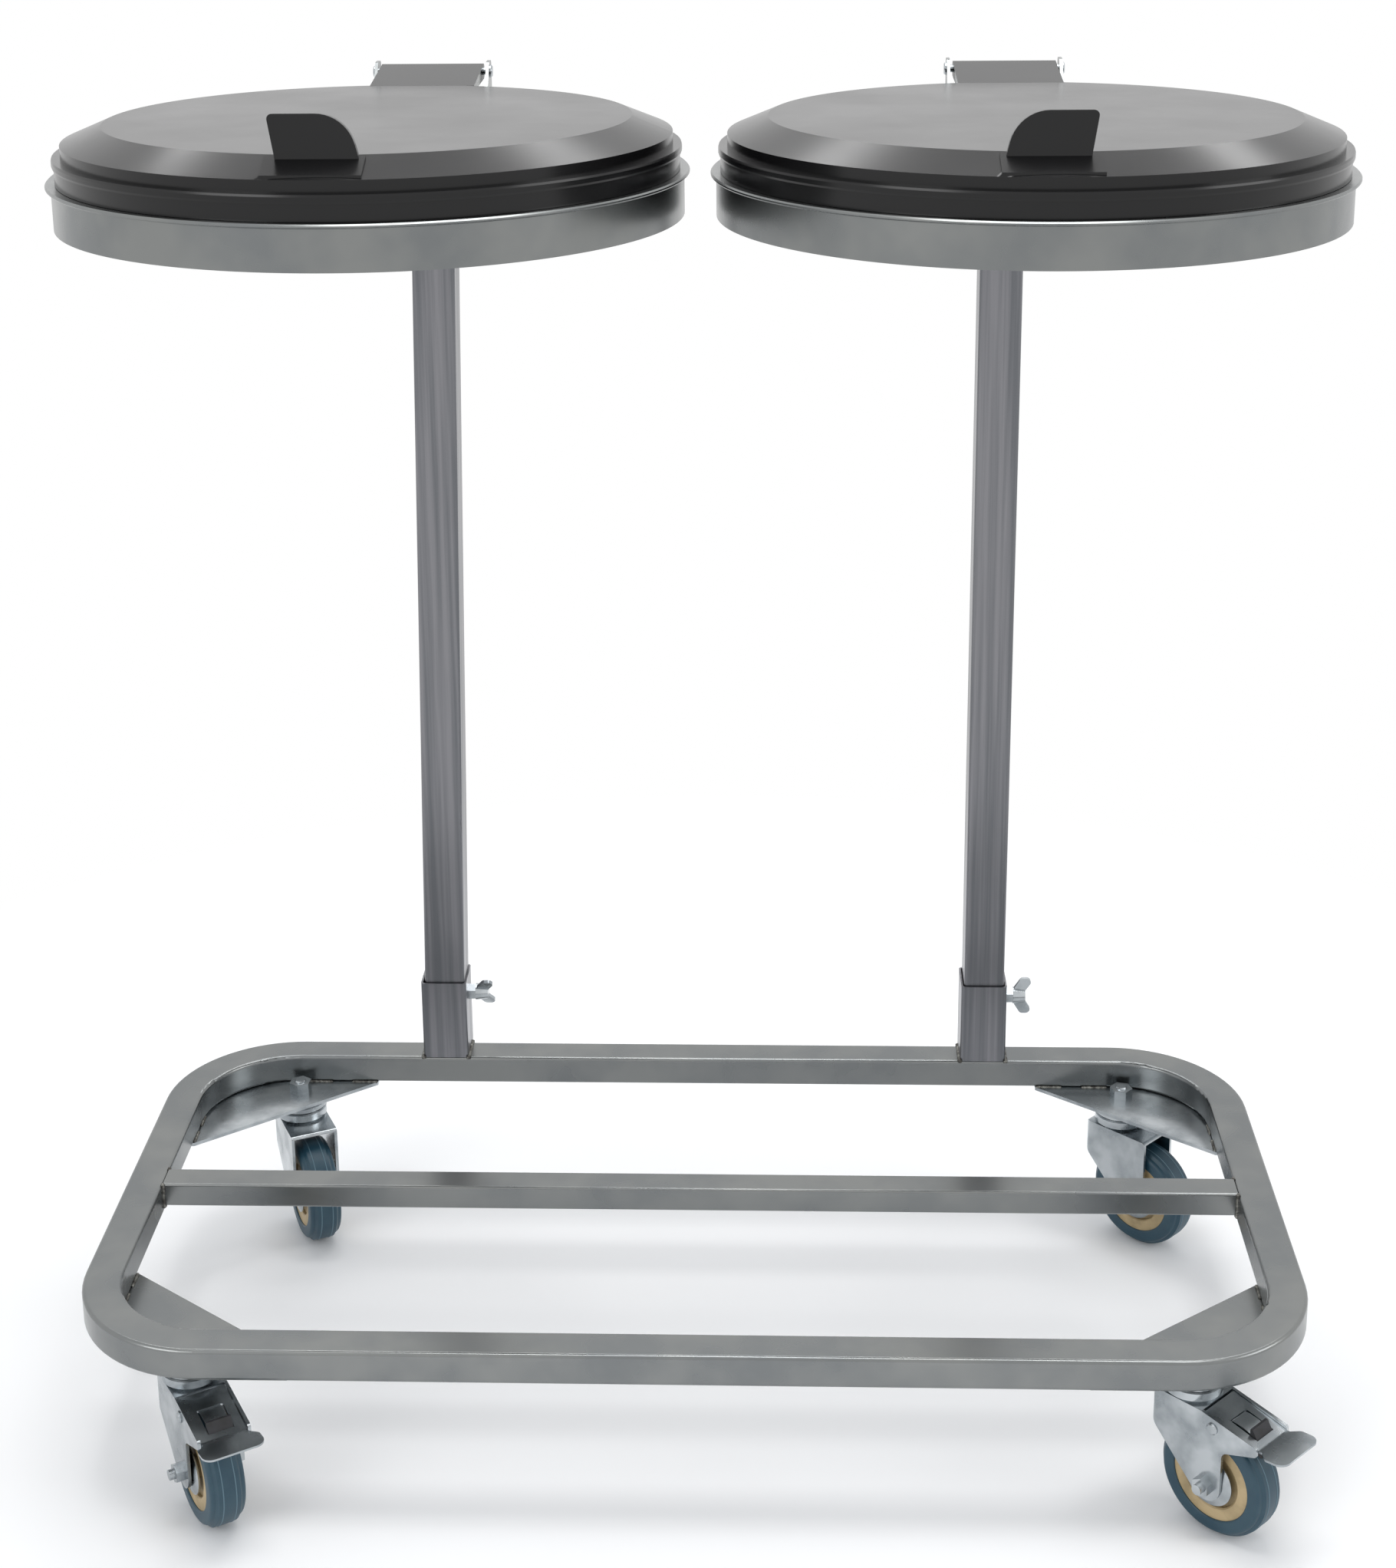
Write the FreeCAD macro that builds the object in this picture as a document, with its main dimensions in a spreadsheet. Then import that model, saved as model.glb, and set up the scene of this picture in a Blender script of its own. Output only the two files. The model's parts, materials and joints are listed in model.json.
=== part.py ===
import FreeCAD, Part
import math
import os
import Sketcher

# Twin bin bag holder: a welded tube frame on four swivel castors, two of them braked. Two square posts stand
# in sockets at its rear rail, and each carries a bag hoop with a hinged, moulded lid.
# The origin is on the floor under the middle of the frame. X runs to the right, Y to the rear, Z up.

doc = FreeCAD.newDocument("bin_bag_holder")
sheet = doc.addObject("Spreadsheet::Sheet", "sizes")

# Driving sizes in millimetres and degrees
SIZES = (
    # Frame
    ("frame_length", 930),
    ("frame_depth", 480),
    ("frame_corner_radius", 105),
    ("rail_width", 30),
    ("rail_height", 25),
    ("rail_wall", 1.5),
    ("rail_edge_radius", 3),
    ("cross_bar_width", 25),
    ("cross_bar_height", 20),
    ("cross_bar_set_back", 3),
    ("cross_bar_edge_radius", 2),
    ("plate_thickness", 3),
    ("plate_length", 142),
    ("plate_depth", 110),
    ("plate_margin", 6),
    # Castors
    ("castor_inset_front", 92),
    ("castor_inset_rear", 101.5),
    ("castor_shift_front", 0),
    ("castor_shift_rear", 3.5),
    ("castor_set_front", 41.5),
    ("castor_set_rear", 45),
    ("castor_height", 125),
    ("heading_front_left", -58),
    ("heading_front_right", -44),
    ("heading_rear_left", -65),
    ("heading_rear_right", -43),
    ("wheel_radius", 46),
    ("tread_width", 28),
    ("tread_crown", 3),
    ("tread_flat", 10),
    ("tread_crown_radius", 14),
    ("tread_edge_radius", 4),
    ("trail", 28),
    ("hub_radius", 32),
    ("hub_width", 25),
    ("hub_recess_radius", 22.5),
    ("hub_web", 18),
    ("hub_boss_radius", 9),
    ("hub_boss_width", 32.4),
    ("axle_radius", 4),
    ("axle_head_across", 13),
    ("axle_head_height", 5.3),
    ("axle_nut_height", 6.5),
    ("axle_stub", 4),
    ("guard_radius", 19.5),
    ("guard_rise", 3),
    ("guard_sheet", 1.2),
    ("fork_width", 41),
    ("fork_sheet", 2.5),
    ("fork_headroom", 10.5),
    ("fork_nose", 22.5),
    ("fork_nose_drop", 26),
    ("fork_flange", 10),
    ("fork_nose_radius", 6),
    ("fork_top_radius", 3),
    ("fork_bend_radius", 5),
    ("fork_inner_radius", 1.5),
    ("fork_lobe_radius", 13),
    ("race_radius", 22),
    ("race_height", 9),
    ("race_wall", 6),
    ("race_bevel", 2),
    ("race_gap", 0.5),
    ("head_disc_radius", 17),
    ("head_core_radius", 9),
    ("head_flange_radius", 12),
    ("head_flange_height", 3),
    ("king_radius", 5),
    ("king_head_radius", 8),
    ("king_head_height", 4.5),
    ("king_nut_across", 17),
    ("king_nut_height", 8.5),
    ("king_stub", 1.5),
    # Brake of the front castors
    ("hood_start", 22),
    ("hood_reach", 70),
    ("hood_drop", 8.5),
    ("hood_end_height", 7),
    ("hood_end_radius", 2),
    ("hood_throat_height", 18),
    ("hood_throat_radius", 6),
    ("pedal_start", 23.5),
    ("pedal_sheet", 1.6),
    ("pedal_sink", 0.5),
    ("pedal_drop", 10.5),
    ("pedal_reach", 95),
    ("pedal_lip_width", 47),
    ("pedal_lip_radius", 8),
    ("pedal_lip_rise", 2),
    ("pedal_bend_radius", 6),
    ("pedal_neck", 3),
    ("pedal_flare", 6),
    ("pedal_flare_radius", 4),
    ("pedal_side_gap", 0.3),
    ("pedal_ear_sheet", 1.4),
    ("pedal_ear_radius", 5.5),
    ("pedal_ear_foot_radius", 5),
    ("pedal_window_start", 40),
    ("pedal_window_length", 24),
    ("pedal_window_width", 20),
    ("brake_pin_forward", 32),
    ("brake_pin_height", 95),
    ("brake_pin_radius", 3),
    ("brake_pin_head_radius", 4.5),
    ("brake_pin_head_height", 1.8),
    ("cam_width", 19),
    ("cam_depth", 14),
    ("cam_front_depth", 8),
    ("cam_set_back", 13),
    ("cam_lug_width", 10),
    ("cam_rise", 4),
    ("cam_edge_radius", 2),
    ("cam_toe", 4),
    ("cam_tip", 2),
    # Posts and sockets
    ("post_spacing", 477),
    ("post_shift", 7.5),
    ("post_width", 35),
    ("post_wall", 1.5),
    ("post_edge_radius", 2.5),
    ("post_rise", 11),
    ("lean_left", 1.3),
    ("lean_right", 0),
    ("socket_width", 40),
    ("socket_wall", 1.6),
    ("socket_height", 72),
    ("seat_gap", 0.3),
    ("screw_radius", 4),
    ("screw_height", 55),
    ("weld_nut_across", 13),
    ("weld_nut_height", 6.5),
    ("wing_boss_radius", 7.5),
    ("wing_boss_length", 11),
    ("wing_boss_taper", 1.5),
    ("wing_span", 36),
    ("wing_reach", 7),
    ("wing_set_back", 1),
    ("wing_width", 12),
    ("wing_tip_radius", 4),
    ("wing_thickness", 3),
    ("wing_turn_left", 35),
    ("wing_turn_right", 8),
    # Hoops
    ("hoop_spacing", 473),
    ("hoop_shift", 10.5),
    ("hoop_radius", 225),
    ("hoop_wall", 2),
    ("hoop_height", 32),
    ("hoop_top", 979),
    ("hoop_rim_outside", 4),
    ("hoop_rim_inside", 2),
    ("hoop_rim_height", 3),
    ("hoop_rim_bevel", 1),
    # Lids
    ("lid_wall", 2.5),
    ("lid_rise", 38.5),
    ("lid_flat_radius", 188),
    ("lid_upper_radius", 217),
    ("lid_chamfer_drop", 12),
    ("lid_upper_band", 8.5),
    ("lid_ring_radius", 223.5),
    ("lid_ring_height", 6),
    ("lid_ring_bevel", 1.5),
    ("lid_ring_bevel_width", 0.5),
    ("lid_lower_radius", 222),
    ("lid_inner_slope", 3),
    ("lid_lip_clearance", 1.5),
    ("lid_lip_depth", 6),
    ("handle_shift", -5.5),
    ("handle_width", 60),
    ("handle_height", 39.5),
    ("handle_thickness", 4.5),
    ("handle_flare", 5),
    ("handle_sweep", 8),
    ("handle_tight_radius", 3.5),
    ("handle_wide_radius", 26),
    ("handle_set_back", 22),
    ("handle_foot_width", 66),
    ("handle_foot_margin", 3.5),
    ("handle_foot_rise", 1.2),
    # Hinges
    ("hinge_set_back", 25.5),
    ("hinge_rise", 3.5),
    ("hinge_pin_radius", 3),
    ("hinge_pin_head_radius", 5),
    ("hinge_pin_head_height", 2),
    ("tongue_width", 82),
    ("tongue_thickness", 5),
    ("tongue_overlap", 6),
    ("barrel_radius", 6),
    ("bracket_width", 92),
    ("bracket_sheet", 2.5),
    ("bracket_depth", 36),
    ("bracket_ear_rise", 8),
    ("bracket_ear_front", 12),
    ("bracket_ear_radius", 4),
    # Clearances
    ("running_clearance", 0.05),
    ("thread_clearance", 0.05),
    ("moving_gap", 0.3),
    ("weld_gap", 0.2),
    ("edge_bevel", 1),
    ("cut_over", 1),
)
for row, (alias, value) in enumerate(SIZES, 1):
    sheet.set(f"A{row}", alias)
    sheet.set(f"B{row}", str(value))
    sheet.setAlias(f"B{row}", alias)
doc.recompute()

# Heights and places that follow from the driving sizes
RAIL_BOTTOM = "(sizes.castor_height + sizes.plate_thickness)"
RAIL_TOP = f"({RAIL_BOTTOM} + sizes.rail_height)"
CROWN = "(2 * sizes.wheel_radius + sizes.fork_headroom + sizes.fork_sheet)"
FORK_INSIDE = "(sizes.fork_width / 2 - sizes.fork_sheet)"
RACE_TOP = f"({CROWN} + sizes.race_height)"
POST_BACK = "(sizes.frame_depth / 2 - sizes.rail_width + sizes.socket_width / 2)"
POST_FRONT = f"({POST_BACK} - sizes.post_width / 2)"
HOOP_MIDDLE = f"({POST_FRONT} - sizes.weld_gap - sizes.hoop_radius)"
SCREW_Z = f"({RAIL_TOP} + sizes.screw_height)"
SOCKET_MIDDLE = f"({RAIL_TOP} + sizes.socket_height / 2)"
HINGE_Y = f"({POST_FRONT} + sizes.hinge_set_back)"
POST_TOP = "(sizes.hoop_top + sizes.post_rise)"
LID_TOP = "(sizes.hoop_top + sizes.lid_rise)"
HINGE_Z = f"({LID_TOP} + sizes.hinge_rise)"
LID_SHOULDER = f"({LID_TOP} - sizes.lid_chamfer_drop)"
LID_STEP = f"({LID_SHOULDER} - sizes.lid_upper_band)"
LID_SEAT = "(sizes.hoop_top + sizes.seat_gap)"
HOOP_BOTTOM = "(sizes.hoop_top - sizes.hoop_height)"
RIM_INSIDE = "(sizes.hoop_radius - sizes.hoop_wall - sizes.hoop_rim_inside)"
HOOD_END = f"({CROWN} - sizes.hood_drop)"
PIN_X = "sizes.brake_pin_forward"
PIN_Z = "sizes.brake_pin_height"

SIDES = (("left", "-1"), ("right", "1"))
CORNERS = (
    ("front_left", "-1", "-1"),
    ("front_right", "1", "-1"),
    ("rear_left", "-1", "1"),
    ("rear_right", "1", "1"),
)
pieces = []


def size(expression):
    """Value of an expression over the sheet."""
    return float(sheet.evalExpression(expression))


def post_x(sign):
    return f"(sizes.post_shift + {sign} * sizes.post_spacing / 2)"


def mast_x(side, sign, height):
    """Middle of a post at a height. It leans inside the play of its socket."""
    return f"({post_x(sign)} + ({height} - {SOCKET_MIDDLE}) * tan(sizes.lean_{side}))"


def hoop_x(sign):
    return f"(sizes.hoop_shift + {sign} * sizes.hoop_spacing / 2)"


def tilt_rise(side):
    """Rise of one side of a leaning post's end."""
    return f"(sizes.post_width / 2 * sin(sizes.lean_{side}))"


def place(item, x="0", y="0", z="0", turn="0", axis=(0, 0, 1)):
    """Binds the place of an item, and its turn about one axis."""
    turned = FreeCAD.Rotation(FreeCAD.Vector(*axis), size(turn))
    item.Placement = FreeCAD.Placement(FreeCAD.Vector(size(x), size(y), size(z)), turned)
    for name, expression in (("x", x), ("y", y), ("z", z)):
        item.setExpression(f"Placement.Base.{name}", expression)
    if turn != "0":
        item.setExpression("Placement.Rotation.Angle", turn)


def new_body(label, kept=True):
    body = doc.addObject("PartDesign::Body", label)
    body.Label = label
    if kept:
        pieces.append(body)
    return body


def group(label, members):
    """Identical small parts that share one node."""
    item = doc.addObject("Part::Compound", label)
    item.Label = label
    item.Links = members
    pieces.append(item)
    return item


def new_sketch(body, plane, offset="0"):
    """Sketch on one of the body's own planes, moved along its normal."""
    sketch = body.newObject("Sketcher::SketchObject", body.Name + "_sketch")
    support = [item for item in body.Origin.OriginFeatures if item.Role == plane]
    sketch.AttachmentSupport = [(support[0], "")]
    sketch.MapMode = "FlatFace"
    if offset != "0":
        sketch.setExpression("AttachmentOffset.Base.z", offset)
    return sketch


def pin_point(sketch, geometry, end, x, y):
    """Holds one point of a sketch at a place given by two expressions."""
    for kind, expression, axis in (("DistanceX", x, -2), ("DistanceY", y, -1)):
        value = size(expression)
        if abs(value) < 1e-9:
            sketch.addConstraint(Sketcher.Constraint("PointOnObject", geometry, end, axis))
        else:
            number = sketch.addConstraint(Sketcher.Constraint(kind, -1, 1, geometry, end, value))
            sketch.setExpression(f"Constraints[{number}]", expression)


def corner_arc(before, corner, after, radius):
    """Ends, centre and turning sense of the arc that rounds a corner."""
    back = (before - corner).normalize()
    ahead = (after - corner).normalize()
    half = back.getAngle(ahead) / 2
    reach = radius / math.tan(half)
    start = corner + back * reach
    end = corner + ahead * reach
    middle = (back + ahead).normalize()
    centre = corner + middle * (radius / math.sin(half))
    left = (corner - before).cross(after - corner).z > 0
    return start, end, centre, left


def outline(sketch, corners):
    """Closed outline through corners (x, y) or (x, y, rounding radius), all of them expressions."""
    count = len(corners)
    points = [FreeCAD.Vector(size(corner[0]), size(corner[1]), 0) for corner in corners]
    starts = list(points)
    ends = list(points)
    arcs = {}
    for i, corner in enumerate(corners):
        if len(corner) == 3:
            radius = size(corner[2])
            start, end, centre, left = corner_arc(points[i - 1], points[i], points[(i + 1) % count], radius)
            starts[i] = start
            ends[i] = end
            first, last = (start, end) if left else (end, start)
            angles = [math.atan2(at.y - centre.y, at.x - centre.x) for at in (first, last)]
            circle = Part.Circle(centre, FreeCAD.Vector(0, 0, 1), radius)
            arcs[i] = (Part.ArcOfCircle(circle, angles[0], angles[1]), left)
    lines = []
    for i in range(count):
        lines.append(sketch.addGeometry(Part.LineSegment(ends[i], starts[(i + 1) % count]), False))
    for i, corner in enumerate(corners):
        if i in arcs:
            arc, left = arcs[i]
            bend = sketch.addGeometry(arc, False)
            mark = sketch.addGeometry(Part.Point(points[i]), True)
            pin_point(sketch, mark, 1, corner[0], corner[1])
            sketch.addConstraint(Sketcher.Constraint("PointOnObject", mark, 1, lines[i - 1]))
            sketch.addConstraint(Sketcher.Constraint("PointOnObject", mark, 1, lines[i]))
            entry, leave = (1, 2) if left else (2, 1)
            sketch.addConstraint(Sketcher.Constraint("Tangent", lines[i - 1], 2, bend, entry))
            sketch.addConstraint(Sketcher.Constraint("Tangent", bend, leave, lines[i], 1))
            number = sketch.addConstraint(Sketcher.Constraint("Radius", bend, size(corner[2])))
            sketch.setExpression(f"Constraints[{number}]", corner[2])
        else:
            sketch.addConstraint(Sketcher.Constraint("Coincident", lines[i - 1], 2, lines[i], 1))
            pin_point(sketch, lines[i], 1, corner[0], corner[1])


def circle(sketch, x, y, radius):
    centre = FreeCAD.Vector(size(x), size(y), 0)
    ring = sketch.addGeometry(Part.Circle(centre, FreeCAD.Vector(0, 0, 1), size(radius)), False)
    pin_point(sketch, ring, 3, x, y)
    number = sketch.addConstraint(Sketcher.Constraint("Radius", ring, size(radius)))
    sketch.setExpression(f"Constraints[{number}]", radius)


def rectangle(sketch, left, right, low, high, radius=None):
    corners = [(left, low), (right, low), (right, high), (left, high)]
    if radius:
        corners = [corner + (radius,) for corner in corners]
    outline(sketch, corners)


def square_section(sketch, width, height, wall, radius, x="0", y="0"):
    """Section of a rectangular tube about a point."""
    for inset in ("0", wall):
        half_width = f"({width} / 2 - {inset})"
        half_height = f"({height} / 2 - {inset})"
        rectangle(
            sketch,
            f"{x} - {half_width}",
            f"{x} + {half_width}",
            f"{y} - {half_height}",
            f"{y} + {half_height}",
            f"{radius} - {inset} / 2",
        )


def hexagon(sketch, x, y, across):
    """Hexagon with two flats across the sketch's first axis."""
    points = []
    for i in range(6):
        angle = 60 * i + 30
        reach = f"({across}) / 2 / cos(30)"
        points.append((f"{x} + {reach} * cos({angle})", f"{y} + {reach} * sin({angle})"))
    outline(sketch, points)


def pad(body, sketch, length, symmetric=False, flipped=False):
    feature = body.newObject("PartDesign::Pad", body.Name + "_pad")
    feature.Profile = sketch
    feature.setExpression("Length", length)
    feature.SideType = "Symmetric" if symmetric else "One side"
    feature.Reversed = flipped
    sketch.Visibility = False
    return feature


def pocket(body, sketch, length=None, symmetric=False, flipped=False):
    """Cut of a given length, or right through both ways."""
    feature = body.newObject("PartDesign::Pocket", body.Name + "_pocket")
    feature.Profile = sketch
    if length is None:
        feature.Type = "ThroughAll"
        symmetric = True
    else:
        feature.setExpression("Length", length)
    feature.SideType = "Symmetric" if symmetric else "One side"
    feature.Reversed = flipped
    return feature


def spin(body, sketch, axis="V_Axis"):
    feature = body.newObject("PartDesign::Revolution", body.Name + "_spin")
    feature.Profile = sketch
    feature.ReferenceAxis = (sketch, [axis])
    feature.Angle = 360
    return feature


# Frame
def base_loop():
    """Closed loop of rectangular tube, bent at its four corners."""
    body = new_body("base_loop")
    place(body, z=f"{RAIL_BOTTOM} + sizes.rail_height / 2")
    half_length = "(sizes.frame_length / 2 - sizes.rail_width / 2)"
    half_depth = "(sizes.frame_depth / 2 - sizes.rail_width / 2)"
    bend = "sizes.frame_corner_radius - sizes.rail_width / 2"
    spine = new_sketch(body, "XY_Plane")
    outline(spine, [
        ("0", f"-{half_depth}"),
        (half_length, f"-{half_depth}", bend),
        (half_length, half_depth, bend),
        (f"-{half_length}", half_depth, bend),
        (f"-{half_length}", f"-{half_depth}", bend),
    ])
    section = new_sketch(body, "YZ_Plane")
    square_section(section, "sizes.rail_width", "sizes.rail_height", "sizes.rail_wall",
                   "sizes.rail_edge_radius", x=f"-{half_depth}")
    doc.recompute()
    pipe = body.newObject("PartDesign::AdditivePipe", "base_loop_pipe")
    pipe.Profile = section
    edges = [f"Edge{i + 1}" for i in range(len(spine.Shape.Edges))]
    pipe.Spine = (spine, edges)


def cross_bar():
    """Straight tube between the side rails, flush with their top."""
    body = new_body("cross_bar")
    place(body, y="sizes.cross_bar_set_back", z=f"{RAIL_TOP} - sizes.cross_bar_height / 2")
    section = new_sketch(body, "YZ_Plane")
    square_section(section, "sizes.cross_bar_width", "sizes.cross_bar_height", "sizes.rail_wall",
                   "sizes.cross_bar_edge_radius")
    pad(body, section, "sizes.frame_length - 2 * sizes.rail_width", symmetric=True)


def corner_plate(corner, along, across):
    """Flat plate under a corner of the loop that carries a castor."""
    body = new_body(f"corner_plate_{corner}")
    place(body, z="sizes.castor_height")
    sketch = new_sketch(body, "XY_Plane")

    def at(inward_x, inward_y, radius=None):
        x = f"{along} * (sizes.frame_length / 2 - ({inward_x}))"
        y = f"{across} * (sizes.frame_depth / 2 - ({inward_y}))"
        return (x, y, radius) if radius else (x, y)

    rail = "sizes.rail_width"
    margin = "sizes.plate_margin"
    outline(sketch, [
        at(margin, margin, f"sizes.frame_corner_radius - {margin}"),
        at(margin, f"{rail} + sizes.plate_depth"),
        at(rail, f"{rail} + sizes.plate_depth"),
        at(f"{rail} + sizes.plate_length", rail),
        at(f"{rail} + sizes.plate_length", margin),
    ])
    circle(sketch, castor_x(corner, along), castor_y(corner, across), "sizes.king_radius + sizes.thread_clearance")
    pad(body, sketch, "sizes.plate_thickness")


def castor_x(corner, along):
    end = corner.split("_")[0]
    return f"(sizes.castor_shift_{end} + {along} * (sizes.frame_length / 2 - sizes.castor_inset_{end}))"


def castor_y(corner, across):
    end = corner.split("_")[0]
    return f"({across} * (sizes.frame_depth / 2 - sizes.castor_set_{end}))"


def socket(side, sign):
    """Upright tube on the rear rail that takes a post, with a hole for its clamp screw."""
    body = new_body(f"socket_{side}")
    place(body, post_x(sign), POST_BACK, RAIL_TOP)
    sketch = new_sketch(body, "XY_Plane")
    square_section(sketch, "sizes.socket_width", "sizes.socket_width", "sizes.socket_wall",
                   "sizes.rail_edge_radius")
    pad(body, sketch, "sizes.socket_height")
    hole = new_sketch(body, "YZ_Plane")
    circle(hole, "0", "sizes.screw_height", "sizes.screw_radius + sizes.running_clearance")
    pocket(body, hole, "sizes.socket_width", flipped=True)


def weld_nut(side, sign):
    body = new_body(f"weld_nut_{side}", kept=False)
    place(body, f"{post_x(sign)} + sizes.socket_width / 2", POST_BACK, SCREW_Z)
    sketch = new_sketch(body, "YZ_Plane")
    hexagon(sketch, "0", "0", "sizes.weld_nut_across")
    circle(sketch, "0", "0", "sizes.screw_radius + sizes.running_clearance")
    pad(body, sketch, "sizes.weld_nut_height")
    return body


def wing_bolt(side, sign):
    """Thumb screw with two wings, its tip just off the post."""
    body = new_body(f"wing_bolt_{side}")
    tip = f"{mast_x(side, sign, SCREW_Z)} + sizes.post_width / 2 + sizes.seat_gap"
    place(body, tip, POST_BACK, SCREW_Z, f"sizes.wing_turn_{side}", (1, 0, 0))
    face = f"({post_x(sign)} + sizes.socket_width / 2 + sizes.weld_nut_height)"
    shank = f"({face} - ({tip}))"
    sketch = new_sketch(body, "XZ_Plane")
    boss_end = f"({shank} + sizes.wing_boss_length)"
    outline(sketch, [
        ("0", "0"),
        (boss_end, "0"),
        (boss_end, "sizes.wing_boss_radius - sizes.wing_boss_taper"),
        (shank, "sizes.wing_boss_radius"),
        (shank, "sizes.screw_radius"),
        ("sizes.edge_bevel", "sizes.screw_radius"),
        ("0", "sizes.screw_radius - sizes.edge_bevel"),
    ])
    spin(body, sketch, "H_Axis")
    for way in ("-1", "1"):
        wing = new_sketch(body, "XZ_Plane")
        root = f"({way} * sizes.wing_boss_radius / 2)"
        tip_z = f"({way} * sizes.wing_span / 2)"
        outline(wing, [
            (f"{shank} + sizes.wing_set_back", root),
            (f"{shank} + sizes.wing_set_back", f"{way} * sizes.wing_boss_radius"),
            (f"{shank} + sizes.wing_reach", tip_z, "sizes.wing_tip_radius"),
            (f"{shank} + sizes.wing_reach + sizes.wing_width", tip_z, "sizes.wing_tip_radius"),
            (f"{boss_end} - sizes.wing_set_back", root),
        ])
        pad(body, wing, "sizes.wing_thickness", symmetric=True)


def post(side, sign):
    """Square tube that stands in its socket on the rail."""
    body = new_body(f"post_{side}")
    foot = f"({RAIL_TOP} + sizes.seat_gap + {tilt_rise(side)})"
    place(body, mast_x(side, sign, foot), POST_BACK, foot, f"sizes.lean_{side}", (0, 1, 0))
    sketch = new_sketch(body, "XY_Plane")
    square_section(sketch, "sizes.post_width", "sizes.post_width", "sizes.post_wall",
                   "sizes.post_edge_radius")
    pad(body, sketch, f"({POST_TOP} - {foot}) / cos(sizes.lean_{side})")


def hoop(side, sign):
    """Flat band with an outward rolled rim, notched where the post passes."""
    body = new_body(f"hoop_{side}")
    place(body, hoop_x(sign), HOOP_MIDDLE)
    sketch = new_sketch(body, "XZ_Plane")
    inside = "(sizes.hoop_radius - sizes.hoop_wall)"
    rim_low = "sizes.hoop_top - sizes.hoop_rim_height"
    outside = "sizes.hoop_radius + sizes.hoop_rim_outside"
    bevel = "sizes.hoop_rim_bevel"
    outline(sketch, [
        (inside, HOOP_BOTTOM),
        ("sizes.hoop_radius", HOOP_BOTTOM),
        ("sizes.hoop_radius", rim_low),
        (f"{outside} - {bevel}", rim_low),
        (outside, f"{rim_low} + {bevel}"),
        (outside, f"sizes.hoop_top - {bevel}"),
        (f"{outside} - {bevel}", "sizes.hoop_top"),
        (RIM_INSIDE, "sizes.hoop_top"),
        (RIM_INSIDE, rim_low),
        (inside, rim_low),
    ])
    spin(body, sketch)
    notch = new_sketch(body, "XY_Plane")
    middle = f"({mast_x(side, sign, 'sizes.hoop_top')} - {hoop_x(sign)})"
    half = "(sizes.post_width / 2 + sizes.seat_gap)"
    back = "sizes.hoop_radius + sizes.weld_gap"
    rectangle(notch, f"{middle} - {half}", f"{middle} + {half}", back, f"{outside} + sizes.cut_over")
    pocket(body, notch)


def hinge_bracket(side, sign):
    """Folded U bracket on top of the post, with an ear each side of the lid's tongue."""
    body = new_body(f"hinge_bracket_{side}")
    seat = f"({POST_TOP} + {tilt_rise(side)})"
    place(body, mast_x(side, sign, POST_TOP), POST_FRONT, seat)
    profile = new_sketch(body, "YZ_Plane")
    ear_top = f"{HINGE_Z} - {seat} + sizes.bracket_ear_rise"
    outline(profile, [
        ("0", "0"),
        ("sizes.bracket_depth", "0"),
        ("sizes.bracket_depth", ear_top, "sizes.bracket_ear_radius"),
        ("sizes.hinge_set_back - sizes.bracket_ear_radius", ear_top, "sizes.bracket_ear_radius"),
        ("0", "sizes.bracket_ear_front"),
    ])
    pad(body, profile, "sizes.bracket_width", symmetric=True)
    room = new_sketch(body, "YZ_Plane")
    rectangle(room, "-sizes.cut_over", "sizes.bracket_depth + sizes.cut_over", "sizes.bracket_sheet",
              f"{ear_top} + sizes.cut_over")
    pocket(body, room, "sizes.bracket_width - 2 * sizes.bracket_sheet", symmetric=True)
    hole = new_sketch(body, "YZ_Plane")
    circle(hole, "sizes.hinge_set_back", f"{HINGE_Z} - {seat}",
           "sizes.hinge_pin_radius + sizes.running_clearance")
    pocket(body, hole)


def hinge_pin(side, sign):
    body = new_body(f"hinge_pin_{side}")
    place(body, mast_x(side, sign, POST_TOP), HINGE_Y, HINGE_Z)
    reach = "(sizes.bracket_width / 2 + sizes.running_clearance)"
    sketch = new_sketch(body, "XZ_Plane")
    far = f"({reach} + sizes.hinge_pin_head_height)"
    outline(sketch, [
        (f"-{far}", "0"),
        (far, "0"),
        (far, "sizes.hinge_pin_head_radius - sizes.edge_bevel"),
        (f"{far} - sizes.edge_bevel", "sizes.hinge_pin_head_radius"),
        (reach, "sizes.hinge_pin_head_radius"),
        (reach, "sizes.hinge_pin_radius"),
        (f"-{reach}", "sizes.hinge_pin_radius"),
        (f"-{reach}", "sizes.hinge_pin_head_radius"),
        (f"-{far} + sizes.edge_bevel", "sizes.hinge_pin_head_radius"),
        (f"-{far}", "sizes.hinge_pin_head_radius - sizes.edge_bevel"),
    ])
    spin(body, sketch, "H_Axis")


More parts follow.
